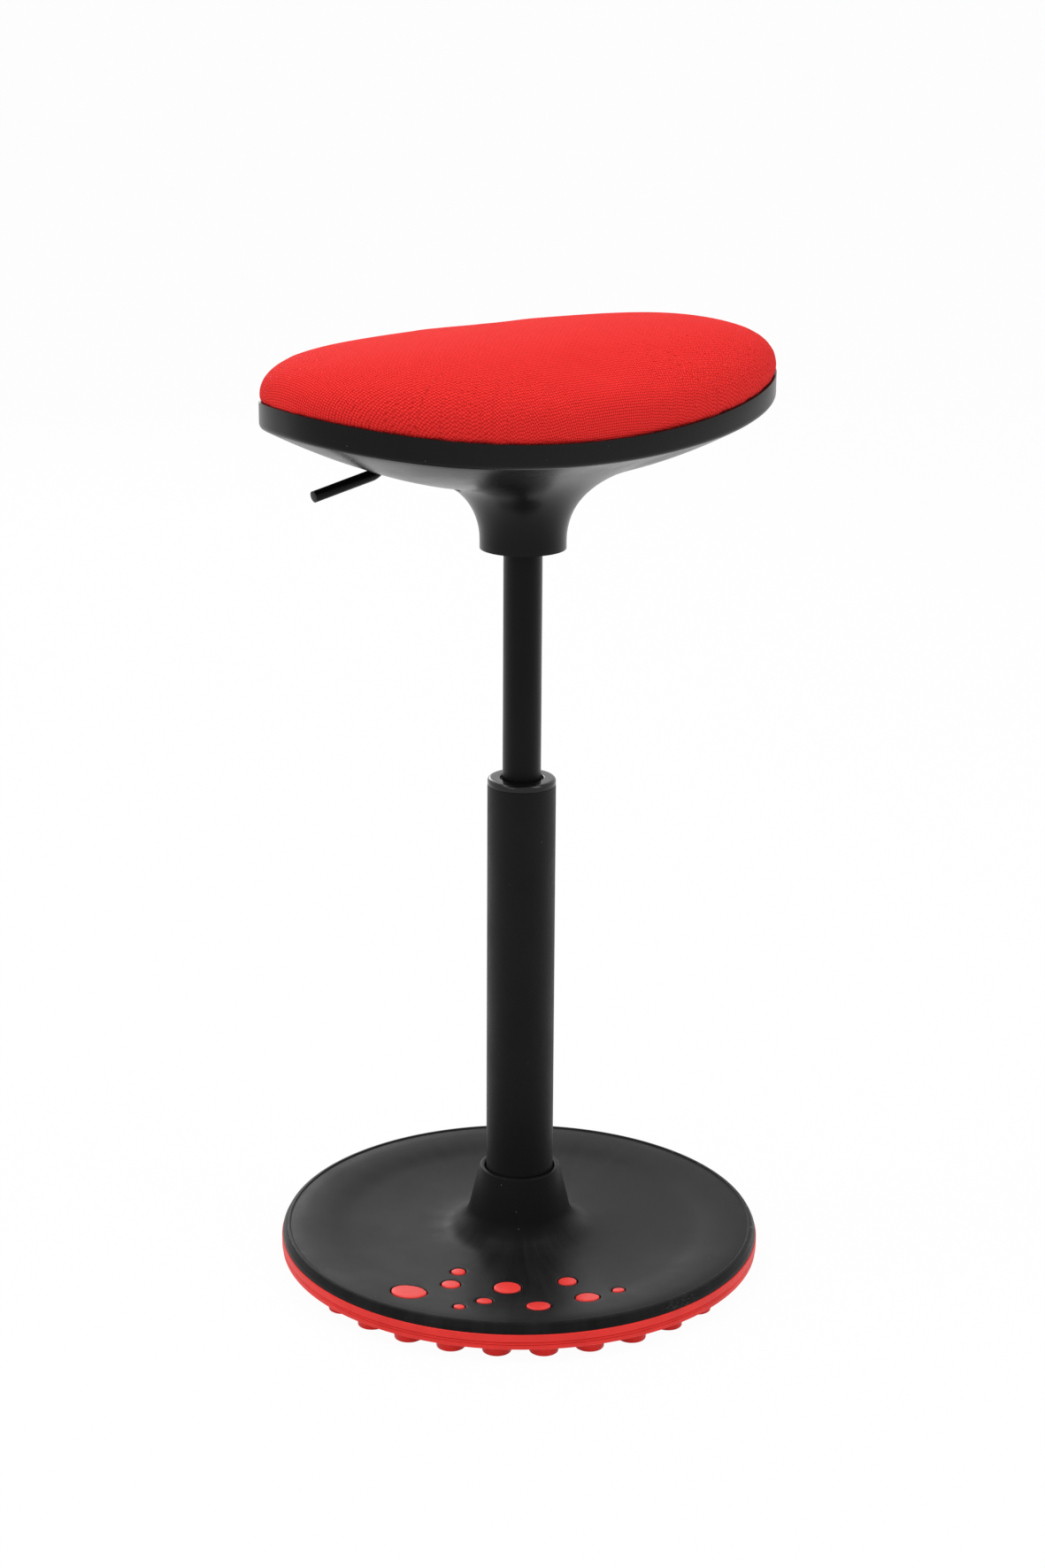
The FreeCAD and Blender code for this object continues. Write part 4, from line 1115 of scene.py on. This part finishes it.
padShape = {
    "crown": 0.0577,
    "sideShare": 0.16,
    "pullIn": 0.0030,
    "pullBend": 1.6,
    "sink": 0.0024,
    "plugInset": 0.0042,
    "plugDepth": 0.0036,
    "plugShare": 0.9,
    "voxel": 0.0042,
    "pressure": 4.0,
    "stretchStiffness": 40,
    "bendStiffness": 4,
    "heldFrom": 0.006,      # above the rim, where the cloth starts to be held
    "heldOver": 0.008,
    "cap": 0.006,
    "frames": 20,
    "sides": 144,
    "crownSteps": 30,
    "edgeSteps": 4,
    "plugSteps": 8,
}


# the crown over a place in plan, where ratio is 1 at the edge
def crownHeight(across, ratio):
    s = seatShape
    p = padShape
    n = s["roundness"]
    share = min(abs(across) / s["halfWidth"], 1)
    side = p["crown"] * (1 - share ** n) ** (1 / n) * p["sideShare"]
    return side + p["crown"] * (1 - p["sideShare"]) * max(1 - ratio ** n, 0) ** (1 / n)


# a point of the pad: levels to 1 are the crown, to 1.5 its edge, and to 2 the underside
def padPoint(turn, level):
    p = padShape
    edge = seatEdge(turn)
    middle = Vector((0, seatShape["middle"]))
    if level <= 1:
        ratio = math.sin(level * math.pi / 2) ** (2 / seatShape["roundness"])
        spot = middle.lerp(edge, ratio)
        return Vector((*spot, rimHeight(*spot) + crownHeight(spot.x, ratio)))
    drop = level - 1
    outward = (edge - middle).normalized()
    rim = rimHeight(*edge)
    if drop <= 0.5:
        share = drop / 0.5
        spot = edge - outward * p["pullIn"] * share ** p["pullBend"]
        side = crownHeight(edge.x, 1)
        return Vector((*spot, rim + side - (p["sink"] + side) * share))
    share = (drop - 0.5) / 0.5
    inset = p["plugInset"] + share * p["plugShare"] * (edge - middle).length
    spot = edge - outward * min(inset, (edge - middle).length)
    return Vector((*spot, rimHeight(*spot) - p["plugDepth"]))


def makePadBlank():
    p = padShape
    turns = seatTurns(p["sides"])
    levels = [step / p["crownSteps"] for step in range(1, p["crownSteps"] + 1)]
    levels += [1 + 0.5 * step / p["edgeSteps"] for step in range(1, p["edgeSteps"] + 1)]
    levels += [1.5 + 0.5 * step / p["plugSteps"] for step in range(p["plugSteps"] + 1)]
    pad = stackRings("seatPad", [[padPoint(turn, level) for turn in turns] for level in levels])
    closeEnds(pad)
    return pad


def puffPad(pad):
    p = padShape
    start = [vertex.co.copy() for vertex in pad.data.vertices]
    held = pad.vertex_groups.new(name="held")
    for vertex in pad.data.vertices:
        below = rimHeight(vertex.co.x, vertex.co.y) + p["heldFrom"] - vertex.co.z
        held.add([vertex.index], min(max(below / p["heldOver"], 0), 1), "REPLACE")
    only(pad)
    cloth = pad.modifiers.new("puff", "CLOTH")
    cloth.settings.use_pressure = True
    cloth.settings.uniform_pressure_force = p["pressure"]
    cloth.settings.tension_stiffness = p["stretchStiffness"]
    cloth.settings.compression_stiffness = p["stretchStiffness"]
    cloth.settings.bending_stiffness = p["bendStiffness"]
    cloth.settings.effector_weights.gravity = 0
    cloth.settings.vertex_group_mass = "held"
    cloth.point_cache.frame_end = p["frames"]
    for moment in range(1, p["frames"] + 1):
        bpy.context.scene.frame_set(moment)
    bpy.ops.object.modifier_apply(modifier=cloth.name)
    bpy.context.scene.frame_set(1)
    for vertex, place in zip(pad.data.vertices, start):
        move = vertex.co - place
        if move.length > p["cap"]:
            vertex.co = place + move.normalized() * p["cap"]
    pad.vertex_groups.clear()


weaveLay = {
    "steps": 48,
    "turnsKept": 40,        # lengths are kept for this many directions in each radian
    "lowest": -0.2,
}


# lays the cloth's threads out from the middle of the pad, along its surface
def layWeave(pad):
    w = weaveLay
    s = seatShape
    p = padShape
    n = s["roundness"]
    middle = Vector((0, s["middle"]))
    table = {}
    steps = w["steps"]
    lie = pad.data.uv_layers.new(name="weaveLie")
    places = []
    for vertex in pad.data.vertices:
        flat = vertex.co.xy - middle
        turn = math.atan2(flat.y, flat.x)
        reach = (seatEdge(turn) - middle).length
        ratio = flat.length / reach
        up = max((vertex.co.z - rimHeight(vertex.co.x, vertex.co.y)) / p["crown"], w["lowest"])
        side = math.atan2(max(ratio, 1e-6) ** (n / 2), math.copysign(abs(up) ** (n / 2), up))
        key = round(turn * w["turnsKept"])
        if key not in table:
            sums, far, high = [0.0], 0.0, p["crown"]
            for step in range(1, steps + 1):
                angle = math.pi / 2 * step / steps
                nextFar = reach * math.sin(angle) ** (2 / n)
                nextHigh = p["crown"] * math.cos(angle) ** (2 / n)
                sums.append(sums[-1] + math.hypot(nextFar - far, nextHigh - high))
                far, high = nextFar, nextHigh
            table[key] = sums
        sums = table[key]
        slot = min(side / (math.pi / 2), 1) * steps
        low = min(int(slot), steps - 1)
        length = sums[low] + (sums[low + 1] - sums[low]) * (slot - low)
        length += max(side - math.pi / 2, 0) * p["crown"]
        direction = flat.normalized() if flat.length > 1e-9 else Vector((1, 0))
        places.append(direction * length)
    for loop in pad.data.loops:
        lie.data[loop.index].uv = places[loop.vertex_index]


def makePad():
    pad = makePadBlank()
    addModifier(pad, "REMESH", mode="VOXEL", voxel_size=padShape["voxel"], use_smooth_shade=True)
    puffPad(pad)
    addModifier(pad, "SMOOTH", factor=0.5, iterations=1)
    addModifier(pad, "SUBSURF", levels=1, render_levels=1)
    layWeave(pad)
    smoothen(pad, 60)
    finishPiece(pad, "redWeave", "seat", "red_fabric", "seat_cover", "seat_foam")


# Release lever

leverShape = {
    "radius": 0.004,
    "knee": -0.108,
    "kneeRun": 0.019,
    "kneeDrop": 0.012,
    "tip": -0.1754,
    "tipDrop": 0.0217,
    "bend": 0.014,
    "endRound": 0.0006,
    "bossRadius": 0.006,
    "bossWidth": 0.010,
    "bossSides": 48,
    "sides": 32,
}


def makeLever():
    v = leverShape
    pull = next(joint for joint in frame["joints"] if joint["name"] == "lever_pull")
    pivot = pull["pos_m"]
    height = pivot[2]
    corners = [(v["radius"], 0.0), (v["knee"], 0.0, v["bend"]),
               (v["knee"] - v["kneeRun"], -v["kneeDrop"], v["bend"]), (v["tip"], -v["tipDrop"])]
    line = [Vector(point) for point in roundCorners(corners, closed=False, stepDegrees=6)]
    rings = []
    for i, spot in enumerate(line):
        before = (spot - line[i - 1]).normalized() if i else (line[1] - spot).normalized()
        after = (line[i + 1] - spot).normalized() if i < len(line) - 1 else before
        way = (before + after).normalized()
        up = Vector((-way.y, way.x))
        rings.append([(spot.x + up.x * v["radius"] * math.cos(t), v["radius"] * math.sin(t),
                       height + spot.y + up.y * v["radius"] * math.cos(t))
                      for t in roundTurns(v["sides"])])
    rod = stackRings("releaseLever", rings)
    closeEnds(rod)
    bpy.ops.mesh.primitive_cylinder_add(vertices=v["bossSides"], radius=v["bossRadius"],
                                        depth=v["bossWidth"], location=pivot,
                                        rotation=(math.pi / 2, 0, 0))
    boss = startPiece("leverBoss")
    settle(boss)
    addModifier(rod, "BOOLEAN", operation="UNION", solver="EXACT", object=boss)
    bpy.data.objects.remove(boss)
    addModifier(rod, "BEVEL", width=v["endRound"], segments=3, limit_method="ANGLE",
                angle_limit=math.radians(60), use_clamp_overlap=True)
    smoothen(rod, 35)
    finishPiece(rod, "leverEnamel", "lever", "lever_enamel", "release_lever")


makeMat()
makeStuds()
makePegs()
makeCover()
makeColumn()
makeCap()
makeTube()
makeShell()
makePad()
makeLever()


# Floor, world and lamps

studio = {
    "floorTone": 0.92,
    "floorShare": 0.965,    # how much of the floor a camera sees as plain white
    "floorSize": 80.0,
    "tentReach": 3.9,       # a dark tent that only reflections see
    "tentSpan": 112.0,      # degrees to each side of the camera, where it comes down to the floor
    "tentEdge": 21.0,       # degrees above level, where it ends on the far side
    "tentTone": 0.02,
    "worldTone": 0.50,
}
lamps = (
    # name, watts, size, spot, aim
    ("topSoftbox", 16.0, 2.2, (-0.3, 0.3, 2.9), (0, 0, 0.4)),
    ("topLeftSoftbox", 15.0, 0.9, (-1.28, 0.54, 2.65), (0, 0, 0.3)),
    ("topRightSoftbox", 15.0, 0.9, (0.89, -1.07, 2.65), (0, 0, 0.3)),
    ("leftSoftbox", 12.0, 1.2, (-2.6, -0.8, 1.9), (0, 0, 0.4)),
    ("rightSoftbox", 10.0, 1.2, (1.2, -2.5, 2.2), (0, 0, 0.4)),
    ("backSoftbox", 14.0, 1.0, (1.2, 3.0, 1.5), (0, 0, 0.6)),
)


def seenDirectly(tree):
    path = newNode(tree, "ShaderNodeLightPath").outputs
    either = calc(tree, "MAXIMUM", path["Is Camera Ray"], path["Is Glossy Ray"])
    return calc(tree, "MAXIMUM", either, path["Is Transmission Ray"])


def mixShaders(tree, share, first, second):
    made = newNode(tree, "ShaderNodeMixShader")
    for socket, item in zip(made.inputs, (share, first, second)):
        feed(tree, socket, item)
    return made.outputs[0]


def makeWorld():
    world = bpy.data.worlds.new("paleStudio")
    world.use_nodes = True
    bpy.context.scene.world = world
    tree = world.node_tree
    lighting = tree.nodes["Background"]
    lighting.inputs["Color"].default_value = grey(studio["worldTone"])
    shown = newNode(tree, "ShaderNodeBackground")
    shown.inputs["Color"].default_value = grey(1)
    mixed = mixShaders(tree, seenDirectly(tree), lighting.outputs[0], shown.outputs[0])
    feed(tree, tree.nodes["World Output"].inputs["Surface"], mixed)


def makeFloor():
    selectNone()
    bpy.ops.mesh.primitive_grid_add(x_subdivisions=8, y_subdivisions=8, size=studio["floorSize"])
    floor = startPiece("studioFloor")
    material, tree, shader, _ = startMaterial("paleFloor", {
        "Roughness": 0.7, "Specular IOR Level": 0.1, "Base Color": grey(studio["floorTone"])})
    glow = newNode(tree, "ShaderNodeEmission")
    glow.inputs["Color"].default_value = grey(1)
    share = times(tree, seenDirectly(tree), studio["floorShare"])
    mixed = mixShaders(tree, share, shader.outputs[0], glow.outputs[0])
    feed(tree, tree.nodes["Material Output"].inputs["Surface"], mixed)
    floor.data.materials.append(material)


def pitchTent():
    selectNone()
    bpy.ops.mesh.primitive_uv_sphere_add(segments=72, ring_count=36, radius=studio["tentReach"])
    tent = startPiece("darkTent")
    towards = bpy.context.scene.camera.matrix_world.translation.xy
    for face in tent.data.polygons:
        middle = face.center
        above = math.degrees(math.asin(middle.z / middle.length))
        aside = math.degrees(middle.xy.angle(towards))
        face.select = above < 0 or (aside > studio["tentSpan"] and above < studio["tentEdge"])
    bpy.ops.object.mode_set(mode="EDIT")
    bpy.ops.mesh.delete(type="FACE")
    leaveEdit()
    material, tree, shader, where = startMaterial("darkCurtain", {
        "Roughness": 1.0, "Specular IOR Level": 0.0})
    tone = studio["tentTone"]
    folds = noise(tree, where, 40.0)
    feed(tree, shader.inputs["Base Color"], blendColour(tree, folds, grey(tone), grey(tone * 1.3)))
    tent.data.materials.append(material)
    tent.visible_camera = False
    tent.visible_diffuse = False
    tent.visible_shadow = False
    tent.visible_transmission = False


def hangLamps():
    for name, watts, size, spot, aim in lamps:
        bpy.ops.object.light_add(type="AREA", location=spot)
        lamp = bpy.context.object
        lamp.name = name
        lamp.data.energy = watts
        lamp.data.size = size
        lamp.rotation_euler = (Vector(aim) - Vector(spot)).to_track_quat("-Z", "Y").to_euler()


makeWorld()
makeFloor()
pitchTent()
hangLamps()
report("studio lit")
